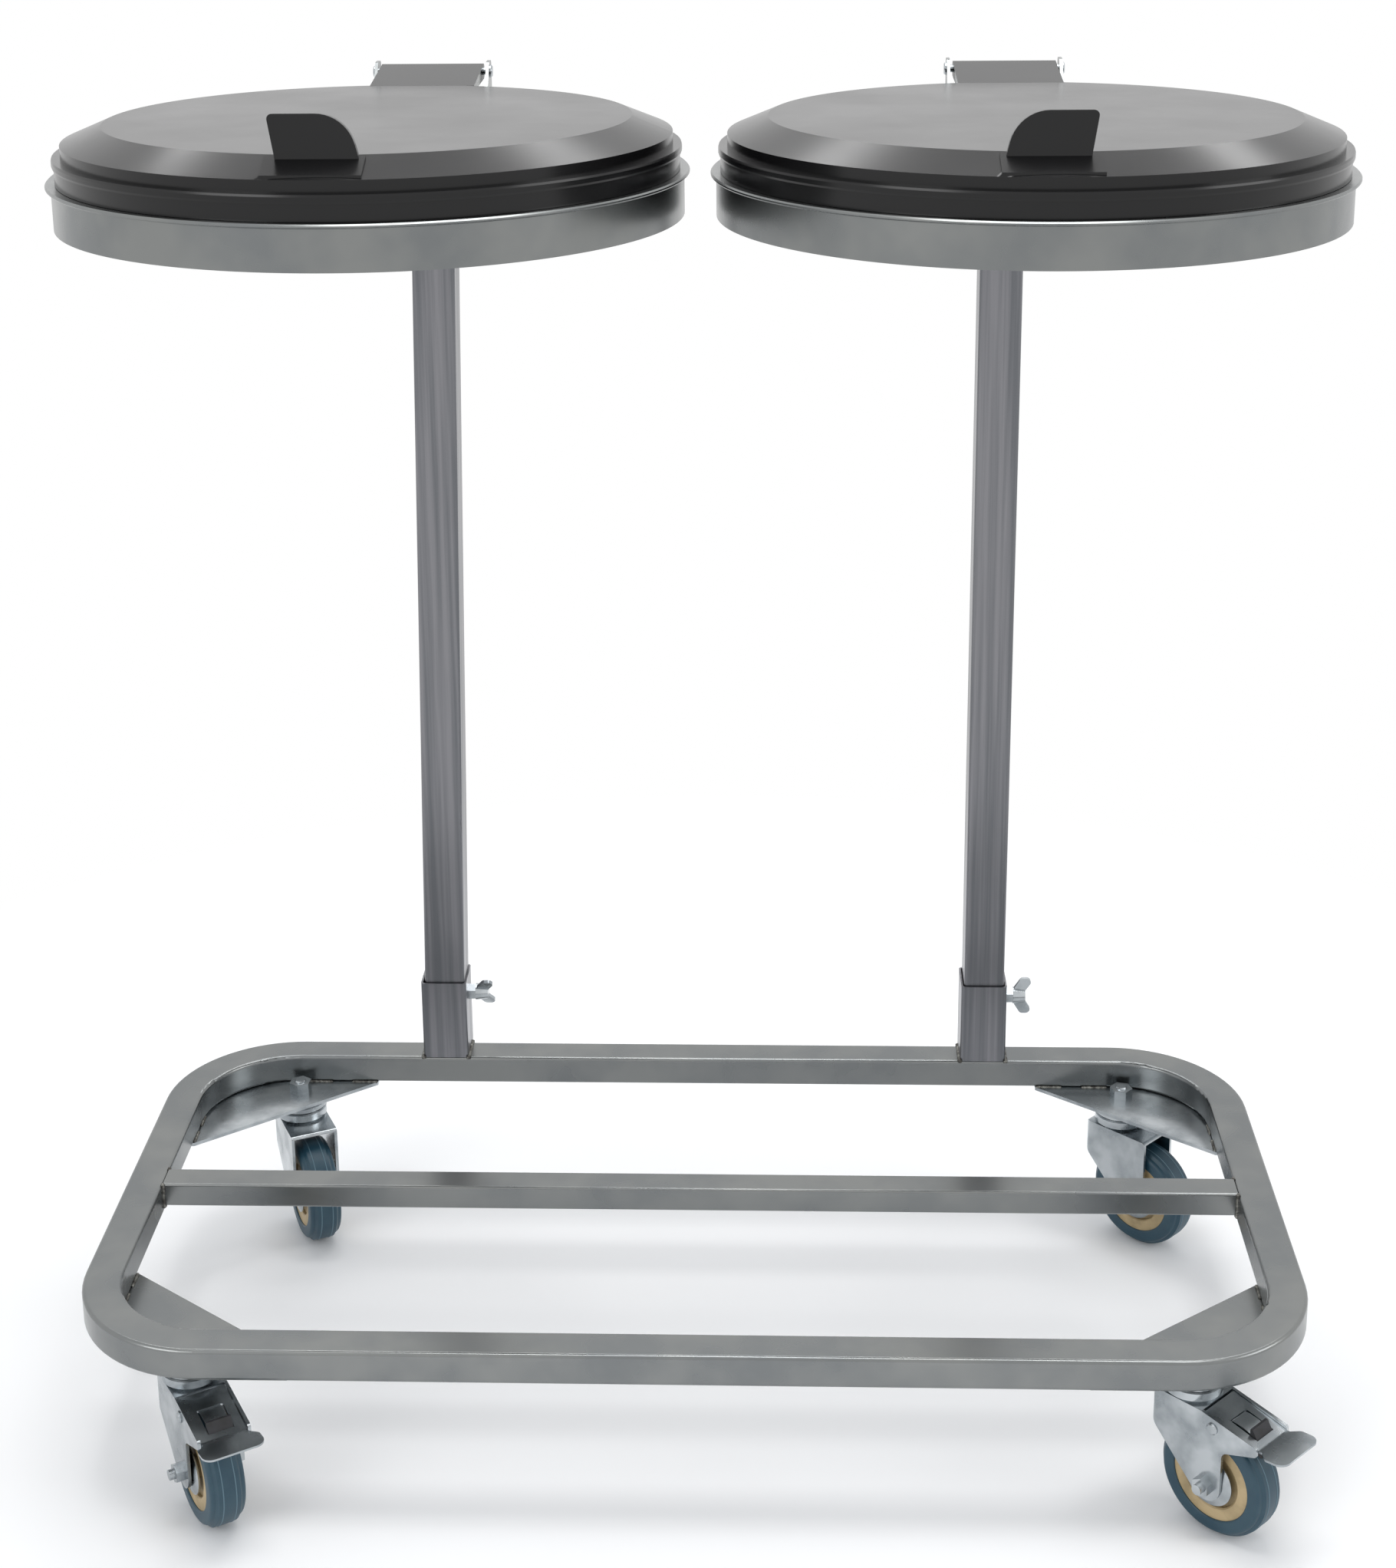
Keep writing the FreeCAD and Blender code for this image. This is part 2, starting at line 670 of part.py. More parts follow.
def lid(side, sign):
    """Moulded lid: a shell with a raised step, a lip inside the hoop, a handle tab and a hinge tongue."""
    body = new_body(f"lid_{side}")
    place(body, hoop_x(sign), HOOP_MIDDLE)
    shell = new_sketch(body, "XZ_Plane")
    wall = "sizes.lid_wall"
    lip = f"({RIM_INSIDE} - sizes.lid_lip_clearance)"
    ring_edge = "sizes.lid_ring_bevel"
    ring_inset = "(sizes.lid_ring_radius - sizes.lid_ring_bevel_width)"
    ring_low = f"({LID_STEP} - sizes.lid_ring_height)"
    outline(shell, [
        ("0", f"{LID_TOP} - {wall}"),
        (f"sizes.lid_flat_radius - {wall} / 2", f"{LID_TOP} - {wall}"),
        (f"sizes.lid_upper_radius - {wall}", f"{LID_SHOULDER} - {wall}"),
        (f"sizes.lid_upper_radius - {wall}", f"{LID_STEP} - {wall}"),
        (f"{lip} - {wall}", f"{LID_STEP} - {wall} - sizes.lid_inner_slope"),
        (f"{lip} - {wall}", f"{LID_SEAT} - sizes.lid_lip_depth"),
        (lip, f"{LID_SEAT} - sizes.lid_lip_depth"),
        (lip, LID_SEAT),
        ("sizes.lid_lower_radius", LID_SEAT),
        ("sizes.lid_lower_radius", ring_low),
        (ring_inset, ring_low),
        ("sizes.lid_ring_radius", f"{ring_low} + {ring_edge}"),
        ("sizes.lid_ring_radius", f"{LID_STEP} - {ring_edge}"),
        (ring_inset, LID_STEP),
        ("sizes.lid_upper_radius", LID_STEP),
        ("sizes.lid_upper_radius", LID_SHOULDER),
        ("sizes.lid_flat_radius", LID_TOP),
        ("0", LID_TOP),
    ])
    spin(body, shell)
    lid_handle(body, sign)
    lid_tongue(body, f"({mast_x(side, sign, POST_TOP)} - {hoop_x(sign)})")


def slope_z(reach):
    """Height of the lid's sloping edge at a distance from its middle."""
    run = "(sizes.lid_upper_radius - sizes.lid_flat_radius)"
    return f"({LID_SHOULDER} + (sizes.lid_upper_radius - {reach}) * sizes.lid_chamfer_drop / {run})"


def lid_handle(body, sign):
    """Finger tab with one upright and one swept edge, on a foot that lies on the sloping edge."""
    middle = "sizes.handle_shift"
    half = "sizes.handle_width / 2"
    front = "(sizes.lid_upper_radius - sizes.handle_set_back)"
    near = f"({front} - sizes.handle_thickness)"
    far = "(sizes.lid_upper_radius - sizes.handle_foot_margin)"
    foot = new_sketch(body, "YZ_Plane", middle)
    outline(foot, [
        (f"-{near}", f"{slope_z(near)} - sizes.lid_wall"),
        (f"-{near}", f"{slope_z(near)} + sizes.handle_foot_rise"),
        (f"-{far}", f"{slope_z(far)} + sizes.handle_foot_rise"),
        (f"-{far}", f"{slope_z(far)} - sizes.lid_wall"),
    ])
    pad(body, foot, "sizes.handle_foot_width", symmetric=True)
    tab = new_sketch(body, "XZ_Plane", front)
    outer = f"({middle} + {sign} * ({half} - sizes.handle_flare))"
    outer_top = f"({middle} + {sign} * {half})"
    inner = f"({middle} - {sign} * {half})"
    inner_top = f"({middle} - {sign} * ({half} - sizes.handle_sweep))"
    low = f"{slope_z(front)} - sizes.lid_wall"
    high = f"{LID_SHOULDER} + sizes.handle_height"
    outline(tab, [
        (outer, low),
        (inner, low),
        (inner_top, high, "sizes.handle_wide_radius"),
        (outer_top, high, "sizes.handle_tight_radius"),
    ])
    pad(body, tab, "sizes.handle_thickness", flipped=True)


def lid_tongue(body, middle):
    """Tongue that rises from the lid to a barrel round the hinge pin."""
    pin_y = f"({HINGE_Y} - {HOOP_MIDDLE})"
    root = "(sizes.lid_flat_radius - sizes.tongue_overlap)"
    profile = new_sketch(body, "YZ_Plane", middle)
    outline(profile, [
        (root, f"{LID_TOP} - sizes.tongue_thickness"),
        (pin_y, f"{HINGE_Z} - sizes.barrel_radius"),
        (pin_y, f"{HINGE_Z} + sizes.barrel_radius"),
        (root, LID_TOP),
    ])
    pad(body, profile, "sizes.tongue_width", symmetric=True)
    barrel = new_sketch(body, "YZ_Plane", middle)
    circle(barrel, pin_y, HINGE_Z, "sizes.barrel_radius")
    pad(body, barrel, "sizes.tongue_width", symmetric=True)
    bore = new_sketch(body, "YZ_Plane", middle)
    circle(bore, pin_y, HINGE_Z, "sizes.hinge_pin_radius + sizes.running_clearance")
    pocket(body, bore)


# Castors. Each is drawn about its swivel axis with the wheel trailing along X, then turned to its heading.
class Castor:
    def __init__(self, corner, along, across):
        self.corner = corner
        self.x = castor_x(corner, along)
        self.y = castor_y(corner, across)
        self.heading = f"sizes.heading_{corner}"
        self.braked = corner.startswith("front")

    def body(self, name, forward="0", up="0", kept=True):
        """Body placed on the swivel axis, or on the wheel's axle with forward and up."""
        body = new_body(f"{name}_{self.corner}", kept)
        x = f"{self.x} + ({forward}) * cos({self.heading})"
        y = f"{self.y} + ({forward}) * sin({self.heading})"
        place(body, x, y, up, self.heading)
        return body

    def on_axle(self, name, kept=True):
        return self.body(name, "sizes.trail", "sizes.wheel_radius", kept)

    def head(self):
        """Upper ball race, its core and the flange that holds the fork from below."""
        body = self.body("castor_head")
        core = "sizes.head_core_radius"
        low = f"({CROWN} - sizes.fork_sheet - sizes.moving_gap)"
        race_low = f"({RACE_TOP} + sizes.race_gap)"
        sketch = new_sketch(body, "XZ_Plane")
        outline(sketch, [
            ("sizes.king_radius + sizes.thread_clearance", f"{low} - sizes.head_flange_height"),
            ("sizes.head_flange_radius - sizes.edge_bevel", f"{low} - sizes.head_flange_height"),
            ("sizes.head_flange_radius", f"{low} - sizes.head_flange_height + sizes.edge_bevel"),
            ("sizes.head_flange_radius", low),
            (core, low),
            (core, race_low),
            ("sizes.race_radius - sizes.edge_bevel", race_low),
            ("sizes.race_radius", f"{race_low} + sizes.edge_bevel"),
            ("sizes.race_radius", f"{race_low} + sizes.race_height / 2"),
            ("sizes.head_disc_radius", "sizes.castor_height"),
            ("sizes.king_radius + sizes.thread_clearance", "sizes.castor_height"),
        ])
        spin(body, sketch)

    def king_bolt(self):
        body = self.body("king_bolt")
        head_top = f"({CROWN} - sizes.fork_sheet - sizes.moving_gap - sizes.head_flange_height)"
        tip = f"({RAIL_BOTTOM} + sizes.king_nut_height + sizes.king_stub)"
        sketch = new_sketch(body, "XZ_Plane")
        outline(sketch, [
            ("0", f"{head_top} - sizes.king_head_height"),
            ("sizes.king_head_radius - sizes.edge_bevel", f"{head_top} - sizes.king_head_height"),
            ("sizes.king_head_radius", f"{head_top} - sizes.king_head_height + sizes.edge_bevel"),
            ("sizes.king_head_radius", head_top),
            ("sizes.king_radius", head_top),
            ("sizes.king_radius", f"{tip} - sizes.edge_bevel"),
            ("sizes.king_radius - sizes.edge_bevel", tip),
            ("0", tip),
        ])
        spin(body, sketch)

    def king_nut(self):
        body = self.body("king_nut", up=RAIL_BOTTOM, kept=False)
        sketch = new_sketch(body, "XY_Plane")
        hexagon(sketch, "0", "0", "sizes.king_nut_across")
        circle(sketch, "0", "0", "sizes.king_radius + sizes.thread_clearance")
        pad(body, sketch, "sizes.king_nut_height")
        return body

    def side_outline(self):
        """Side view of the fork: nose, slanted front edge, round lobe at the axle, and the hood if braked."""
        lobe = "sizes.fork_lobe_radius"
        nose_z = f"({CROWN} - sizes.fork_nose_drop)"
        run = "(sizes.trail + sizes.fork_nose)"
        drop = f"({nose_z} - sizes.wheel_radius)"
        lean = f"(atan({drop} / {run}) + asin({lobe} / hypot({drop}; {run})))"
        rear = f"(sizes.trail + {lobe})"
        foot_z = f"({nose_z} - ({run} + {lobe}) * tan({lean}))"
        corners = [
            ("-sizes.fork_nose", CROWN, "sizes.fork_top_radius"),
            ("-sizes.fork_nose", nose_z, "sizes.fork_bend_radius"),
            (rear, foot_z, lobe),
        ]
        if self.braked:
            corners += [
                (rear, f"{HOOD_END} - sizes.hood_throat_height", "sizes.hood_throat_radius"),
                ("sizes.hood_reach", f"{HOOD_END} - sizes.hood_end_height", "sizes.hood_end_radius"),
                ("sizes.hood_reach", HOOD_END, "sizes.hood_end_radius"),
                ("sizes.hood_start", CROWN),
            ]
        else:
            corners += [(rear, CROWN, "sizes.fork_top_radius")]
        return corners

    def room_outline(self):
        """Side view of what is cut out between the fork's two side plates."""
        nose = "(sizes.fork_sheet - sizes.fork_nose)"
        under = f"({CROWN} - sizes.fork_sheet)"
        flange = f"({CROWN} - sizes.fork_flange)"
        ahead = "-(sizes.fork_nose + sizes.cut_over)"
        beyond = "(sizes.hood_reach + sizes.cut_over)"
        above = f"({CROWN} + sizes.cut_over)"
        corners = [(nose, flange), (ahead, flange), (ahead, "0"), (beyond, "0")]
        if self.braked:
            corners += [(beyond, above), ("sizes.hood_start", above), ("sizes.hood_start", under)]
        else:
            corners += [(beyond, under)]
        return corners + [(nose, under, "sizes.fork_inner_radius")]

    def fork(self):
        """Pressed fork with rounded corners at its nose and the lower ball race on its crown."""
        body = self.body("fork")
        side = new_sketch(body, "XZ_Plane")
        outline(side, self.side_outline())
        pad(body, side, "sizes.fork_width", symmetric=True)
        half = "(sizes.fork_width / 2)"
        beyond = "(sizes.hood_reach + sizes.cut_over)"
        plan = new_sketch(body, "XY_Plane")
        rectangle(plan, "-(sizes.fork_nose + sizes.cut_over)", f"{beyond} + sizes.cut_over",
                  f"-({half} + sizes.cut_over)", f"{half} + sizes.cut_over")
        outline(plan, [
            ("-sizes.fork_nose", f"-{half}", "sizes.fork_nose_radius"),
            (beyond, f"-{half}"),
            (beyond, half),
            ("-sizes.fork_nose", half, "sizes.fork_nose_radius"),
        ])
        pocket(body, plan)
        room = new_sketch(body, "XZ_Plane")
        outline(room, self.room_outline())
        pocket(body, room, f"2 * {FORK_INSIDE}", symmetric=True)
        race = new_sketch(body, "XZ_Plane")
        inside = "(sizes.race_radius - sizes.race_wall)"
        outline(race, [
            (inside, f"{CROWN} - sizes.fork_sheet / 2"),
            ("sizes.race_radius - sizes.race_bevel", f"{CROWN} - sizes.fork_sheet / 2"),
            ("sizes.race_radius - sizes.race_bevel", CROWN),
            ("sizes.race_radius", f"{CROWN} + sizes.race_bevel"),
            ("sizes.race_radius", f"{RACE_TOP} - sizes.edge_bevel"),
            ("sizes.race_radius - sizes.edge_bevel", RACE_TOP),
            (inside, RACE_TOP),
        ])
        spin(body, race)
        centre = new_sketch(body, "XY_Plane")
        circle(centre, "0", "0", "sizes.head_core_radius + sizes.running_clearance")
        pocket(body, centre)
        axle = new_sketch(body, "XZ_Plane")
        circle(axle, "sizes.trail", "sizes.wheel_radius", "sizes.axle_radius + sizes.running_clearance")
        if self.braked:
            circle(axle, PIN_X, PIN_Z, "sizes.brake_pin_radius + sizes.running_clearance")
        pocket(body, axle)

    def tyre(self):
        """Rubber tread with a gentle crown."""
        body = self.on_axle("tyre")
        half = "sizes.tread_width / 2"
        shoulder = "sizes.wheel_radius - sizes.tread_crown"
        sketch = new_sketch(body, "XY_Plane")
        outline(sketch, [
            ("sizes.hub_radius + sizes.running_clearance", f"-({half})"),
            (shoulder, f"-({half})", "sizes.tread_edge_radius"),
            ("sizes.wheel_radius", "-sizes.tread_flat / 2", "sizes.tread_crown_radius"),
            ("sizes.wheel_radius", "sizes.tread_flat / 2", "sizes.tread_crown_radius"),
            (shoulder, half, "sizes.tread_edge_radius"),
            ("sizes.hub_radius + sizes.running_clearance", half),
        ])
        spin(body, sketch)

    def hub(self):
        """Moulded wheel centre, dished on both sides round a long boss."""
        body = self.on_axle("hub")
        bore = "sizes.axle_radius + sizes.running_clearance"
        rim = "(sizes.hub_width / 2)"
        web = "(sizes.hub_web / 2)"
        boss = "(sizes.hub_boss_width / 2)"
        sketch = new_sketch(body, "XY_Plane")
        outline(sketch, [
            (bore, f"-{boss}"),
            ("sizes.hub_boss_radius", f"-{boss}"),
            ("sizes.hub_boss_radius", f"-{web}"),
            ("sizes.hub_recess_radius", f"-{web}"),
            ("sizes.hub_recess_radius", f"-({rim} - sizes.edge_bevel)"),
            ("sizes.hub_recess_radius + sizes.edge_bevel", f"-{rim}"),
            ("sizes.hub_radius", f"-{rim}"),
            ("sizes.hub_radius", rim),
            ("sizes.hub_recess_radius + sizes.edge_bevel", rim),
            ("sizes.hub_recess_radius", f"{rim} - sizes.edge_bevel"),
            ("sizes.hub_recess_radius", web),
            ("sizes.hub_boss_radius", web),
            ("sizes.hub_boss_radius", boss),
            (bore, boss),
        ])
        spin(body, sketch)

    def axle_bolt(self):
        """Axle screw with a hexagon head, and a stub beyond its nut."""
        body = self.on_axle("axle_bolt")
        shank = new_sketch(body, "XZ_Plane", "-sizes.fork_width / 2")
        circle(shank, "0", "0", "sizes.axle_radius")
        pad(body, shank, "sizes.fork_width + sizes.axle_nut_height + sizes.axle_stub")
        head = new_sketch(body, "XZ_Plane", "-sizes.fork_width / 2")
        hexagon(head, "0", "0", "sizes.axle_head_across")
        pad(body, head, "sizes.axle_head_height", flipped=True)

    def axle_nut(self):
        body = self.on_axle("axle_nut")
        sketch = new_sketch(body, "XZ_Plane", "sizes.fork_width / 2")
        hexagon(sketch, "0", "0", "sizes.axle_head_across")
        circle(sketch, "0", "0", "sizes.axle_radius + sizes.thread_clearance")
        pad(body, sketch, "sizes.axle_nut_height")

    def thread_guards(self):
        """Pressed dust caps on the axle, one each side of the hub."""
        caps = []
        for name, way in (("near", "-1"), ("far", "1")):
            body = self.on_axle(f"guard_{name}", kept=False)
            outer = f"({FORK_INSIDE})"
            sheet_edge = f"({outer} - sizes.guard_sheet)"
            bore = "sizes.axle_radius + sizes.running_clearance"
            flat = "sizes.hub_boss_radius"
            sketch = new_sketch(body, "XY_Plane")
            outline(sketch, [
                (bore, f"{way} * {outer}"),
                (flat, f"{way} * {outer}"),
                ("sizes.guard_radius", f"{way} * ({outer} - sizes.guard_rise)"),
                ("sizes.guard_radius", f"{way} * ({sheet_edge} - sizes.guard_rise)"),
                (flat, f"{way} * {sheet_edge}"),
                (bore, f"{way} * {sheet_edge}"),
            ])
            spin(body, sketch)
            caps.append(body)
        group(f"thread_guards_{self.corner}", caps)

    def tray_z(self, forward):
        """Height of the pedal's floor under the hood's edges."""
        slope = "sizes.pedal_drop / (sizes.hood_reach - sizes.hood_start)"
        return f"({CROWN} - sizes.pedal_sink - ({forward} - sizes.hood_start) * {slope})"

    def brake_pedal(self):
        """Tray between the hood's walls that rocks on two short pins and ends in a flared lip."""
        body = self.body("brake_pedal")
        start = "sizes.pedal_start"
        bend = "sizes.hood_reach"
        reach = "sizes.pedal_reach"
        side = new_sketch(body, "XZ_Plane")
        outline(side, [
            (start, self.tray_z(start)),
            (bend, self.tray_z(bend), "sizes.pedal_bend_radius"),
            (reach, f"{self.tray_z(bend)} + sizes.pedal_lip_rise"),
            (reach, f"{self.tray_z(bend)} + sizes.pedal_lip_rise - sizes.pedal_sheet"),
            (bend, f"{self.tray_z(bend)} - sizes.pedal_sheet", "sizes.pedal_bend_radius"),
            (start, f"{self.tray_z(start)} - sizes.pedal_sheet"),
        ])
        pad(body, side, "sizes.pedal_lip_width", symmetric=True)
        narrow = f"({FORK_INSIDE} - sizes.pedal_side_gap)"
        wide = "(sizes.pedal_lip_width / 2)"
        plan = new_sketch(body, "XY_Plane")
        neck = f"({bend} + sizes.pedal_neck)"
        flare = f"({neck} + sizes.pedal_flare)"
        rectangle(plan, f"{start} - sizes.cut_over", f"{reach} + sizes.cut_over",
                  f"-({wide} + sizes.cut_over)", f"{wide} + sizes.cut_over")
        outline(plan, [
            (start, f"-{narrow}"),
            (neck, f"-{narrow}"),
            (flare, f"-{wide}", "sizes.pedal_flare_radius"),
            (reach, f"-{wide}", "sizes.pedal_lip_radius"),
            (reach, wide, "sizes.pedal_lip_radius"),
            (flare, wide, "sizes.pedal_flare_radius"),
            (neck, narrow),
            (start, narrow),
        ])
        rectangle(plan, "sizes.pedal_window_start", "sizes.pedal_window_start + sizes.pedal_window_length",
                  "-sizes.pedal_window_width / 2", "sizes.pedal_window_width / 2")
        pocket(body, plan)
        self.pedal_ears(body, narrow)

    def pedal_ears(self, body, narrow):
        """Lugs of the pedal in the narrow space beside the tyre, bored for the pins."""
        lug = "sizes.pedal_ear_radius"
        ends = (f"({PIN_X} + {lug})", f"({PIN_X} - {lug})")
        tops = [(end, f"{self.tray_z(end)} - sizes.pedal_sheet / 2") for end in ends]
        for way in ("-1", "1"):
            outer = f"{way} * {narrow}"
            ear = new_sketch(body, "XZ_Plane", f"-({outer})")
            outline(ear, [
                (f"{PIN_X} - {lug}", f"{PIN_Z} - {lug}", "sizes.pedal_ear_foot_radius"),
                (f"{PIN_X} + {lug}", f"{PIN_Z} - {lug}", "sizes.pedal_ear_foot_radius"),
            ] + tops)
            circle(ear, PIN_X, PIN_Z, "sizes.brake_pin_radius + sizes.running_clearance")
            pad(body, ear, "sizes.pedal_ear_sheet", flipped=(way == "-1"))

    def brake_pins(self):
        """Short rivets that carry the pedal in the hood's walls, clear of the tyre."""
        rivets = []
        for name, way in (("near", "-1"), ("far", "1")):
            body = self.body(f"rivet_{name}", PIN_X, PIN_Z, kept=False)
            inner = f"({FORK_INSIDE} - sizes.pedal_side_gap - sizes.pedal_ear_sheet)"
            face = "(sizes.fork_width / 2)"
            head = f"({face} + sizes.brake_pin_head_height)"
            sketch = new_sketch(body, "XY_Plane")
            outline(sketch, [
                ("0", f"{way} * {inner}"),
                ("sizes.brake_pin_radius", f"{way} * {inner}"),
                ("sizes.brake_pin_radius", f"{way} * {face}"),
                ("sizes.brake_pin_head_radius", f"{way} * {face}"),
                ("sizes.brake_pin_head_radius", f"{way} * ({head} - sizes.edge_bevel)"),
                ("sizes.brake_pin_head_radius - sizes.edge_bevel", f"{way} * {head}"),
                ("0", f"{way} * {head}"),
            ])
            spin(body, sketch)
            rivets.append(body)
        group(f"brake_pins_{self.corner}", rivets)

    def brake_cam(self):
        """Bent shoe under the pedal, seen through its window, that bears on the tread."""
        body = self.body("brake_cam")
        near = "(sizes.pedal_window_start + sizes.cam_set_back)"
        far = "(sizes.hood_reach - sizes.edge_bevel)"
        toe = f"({near} + sizes.cam_toe)"
        window_end = "(sizes.pedal_window_start + sizes.pedal_window_length)"
        heel = f"({near} + sizes.cam_lug_width)"
        under = f"({self.tray_z(far)} - sizes.pedal_sheet)"
        front_low = f"{self.tray_z(heel)} - sizes.pedal_sheet - sizes.cam_front_depth"
        sketch = new_sketch(body, "XZ_Plane")
        outline(sketch, [
            (window_end, f"{self.tray_z(window_end)} - sizes.pedal_sheet"),
            (far, under),
            (far, f"{under} - sizes.cam_depth", "sizes.cam_edge_radius"),
            (heel, front_low, "sizes.cam_edge_radius"),
            (toe, f"{self.tray_z(near)} - sizes.pedal_sheet"),
            (toe, f"{self.tray_z(near)} + sizes.cam_rise"),
            (f"{toe} + sizes.cam_tip", f"{self.tray_z(near)} + sizes.cam_rise"),
        ])
        pad(body, sketch, "sizes.cam_width", symmetric=True)

    def build(self):
        self.head()
        self.king_bolt()
        self.fork()
        self.tyre()
        self.hub()
        self.axle_bolt()
        self.axle_nut()
        self.thread_guards()
        if self.braked:
            self.brake_pedal()
            self.brake_pins()
            self.brake_cam()


def check():
    """Stops if an object of the document failed or a piece isn't a sound solid."""
    for item in doc.Objects:
        if "Invalid" in item.State or "Error" in item.State:
            raise RuntimeError(f"{item.Label} failed: {item.State}")
    for piece in pieces:
        if piece.Shape.isNull() or not piece.Shape.isValid() or not piece.Shape.Solids:
            raise RuntimeError(f"{piece.Label} isn't a sound solid")


base_loop()
cross_bar()
for corner_name, corner_along, corner_across in CORNERS:
    corner_plate(corner_name, corner_along, corner_across)
for side_name, side_sign in SIDES:
    socket(side_name, side_sign)
    wing_bolt(side_name, side_sign)
    post(side_name, side_sign)
    hoop(side_name, side_sign)
    hinge_bracket(side_name, side_sign)
    hinge_pin(side_name, side_sign)
    lid(side_name, side_sign)
group("weld_nuts", [weld_nut(side_name, side_sign) for side_name, side_sign in SIDES])
castors = [Castor(*corner) for corner in CORNERS]
for castor in castors:
    castor.build()
group("king_nuts", [castor.king_nut() for castor in castors])
doc.recompute()
check()

os.makedirs("parts", exist_ok=True)
for piece in pieces:
    piece.Shape.exportStep(f"parts/{piece.Label}.step")
print(f"{len(pieces)} parts written")
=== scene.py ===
import json
import math

import bmesh
import bpy
from bpy.props import FloatProperty, PointerProperty, StringProperty
from mathutils import Matrix, Vector


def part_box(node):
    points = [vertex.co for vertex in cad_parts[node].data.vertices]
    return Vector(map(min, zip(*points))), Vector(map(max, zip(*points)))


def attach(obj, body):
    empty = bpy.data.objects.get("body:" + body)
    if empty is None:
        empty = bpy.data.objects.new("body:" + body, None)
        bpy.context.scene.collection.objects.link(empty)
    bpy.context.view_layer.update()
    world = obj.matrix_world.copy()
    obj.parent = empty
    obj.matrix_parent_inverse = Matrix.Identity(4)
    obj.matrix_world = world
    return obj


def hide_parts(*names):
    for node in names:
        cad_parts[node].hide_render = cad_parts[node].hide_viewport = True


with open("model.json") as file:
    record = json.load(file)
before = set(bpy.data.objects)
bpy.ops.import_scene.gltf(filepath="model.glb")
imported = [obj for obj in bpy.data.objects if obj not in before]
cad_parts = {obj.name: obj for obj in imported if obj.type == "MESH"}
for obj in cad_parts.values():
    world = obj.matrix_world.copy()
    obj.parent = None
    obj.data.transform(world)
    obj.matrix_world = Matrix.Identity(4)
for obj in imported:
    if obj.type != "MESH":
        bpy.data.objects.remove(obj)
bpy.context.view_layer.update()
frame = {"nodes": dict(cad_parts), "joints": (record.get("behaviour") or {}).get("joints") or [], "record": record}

bl_info = {
    "name": "Twin bin bag holder",
    "version": (1, 0, 0),
    "blender": (4, 5, 0),
    "location": "View3D > Sidebar > Bag holder",
    "description": "Finishes, tyres, brake springs, welds, threads and stage of a twin bin bag holder",
    "category": "Object",
}

MM = 0.001
SIDES = ("left", "right")
CORNERS = ("front_left", "front_right", "rear_left", "rear_right")
BRAKED = ("front_left", "front_right")
JOINTS = {joint["name"]: joint for joint in frame["joints"]}

# Camera, from a perspective fit of the base, the posts and the hoops: pixels of the photograph, metres
# and radians
IMAGE_HEIGHT = 2044
SENSOR = 36
FOCAL_PIXELS = 3389.9
CENTRE_ROW = 699.9
CAMERA_PLACE = (0.07366, -1.87092, 1.25919)
CAMERA_PITCH = 0.2901
CAMERA_YAW = 0.0362
CAMERA_ROLL = -0.0097
CLIP_START = 0.05

# Half the edge of the floor, and the distance from the middle over which it turns plain white, in metres
FLOOR_HALF = 14
FLOOR_FADE = (0.45, 1.2)

# Lamps: name, place, aim, length, width and watts. The strip behind draws the bright edge lines.
LAMPS = (
    ("lamp_overhead", (0.2, 0.0, 3.2), (0, 0, 0.6), 1.7, 1.7, 56),
    ("lamp_strip_behind", (0.0, 1.9, 2.7), (0, 0, 0.4), 3.0, 0.3, 16),
    ("lamp_front_left", (-2.4, -2.6, 2.2), (0, 0, 0.5), 1.8, 1.8, 30),
    ("lamp_right", (2.8, -0.8, 1.8), (0, 0, 0.5), 1.4, 1.4, 16),
)
ROOM_LIGHT = (0.85, 0.87, 0.9, 1)
ROOM_STRENGTH = 0.8

# Noise values between which a surface turns from its dark tint to its light one, and from rough to smooth
TINT_RANGE = (0.36, 0.64)
SHEEN_RANGE = (0.3, 0.7)
RELIEF_STRENGTH = 0.6

# Tyre section: chamfer at the bore, shoulder, fall of the crown from its ridges to the shoulder, places of
# two points of the crown, and how far the crown lies below the ridges beside, between and midway between them
TYRE_CHAMFER = 0.8 * MM
TYRE_SHOULDER = 3.5 * MM
SHOULDER_STEPS = 4
CROWN_FALL = 3 * MM
CROWN_PLACES = (8.4 * MM, 6.6 * MM)
BESIDE_RIDGE = 0.3 * MM
BETWEEN_RIDGES = 0.25 * MM
MIDWAY = 0.1 * MM
TYRE_STEPS = 96
TREAD_ABOVE_BORE = 3.6 * MM

# Path of the brake spring in its pedal's frame, as (along, up) from the pedal's rivets
SPRING_PATH = ((8.6 * MM, 4.9 * MM), (14 * MM, 4.6 * MM), (20 * MM, 3.6 * MM), (25.6 * MM, 1.8 * MM))

# Welds: waves of the drops' size as (share, radians for each drop), flatness, shares of the full radius for
# the finer beads, width of a rail, stitches of a corner plate as (near, far) from its inner end, inset of the
# hoop's beads from the post's edges and height of the hoop's rim
WELD_WAVES = ((0.12, 2.3), (0.08, 0.7))
WELD_FLATNESS = 0.9
PLATE_WELD = 0.8
UPRIGHT_WELD = 0.8
BAND_WELD = 0.7
SEAT_WELD = 0.6
RAIL_WIDTH = 30 * MM
LONG_RAIL_STITCHES = ((2 * MM, 22 * MM), (42 * MM, 62 * MM))
SIDE_RAIL_STITCHES = ((2 * MM, 18 * MM), (30 * MM, 44 * MM))
POST_INSET = 3 * MM
HOOP_RIM = 3 * MM

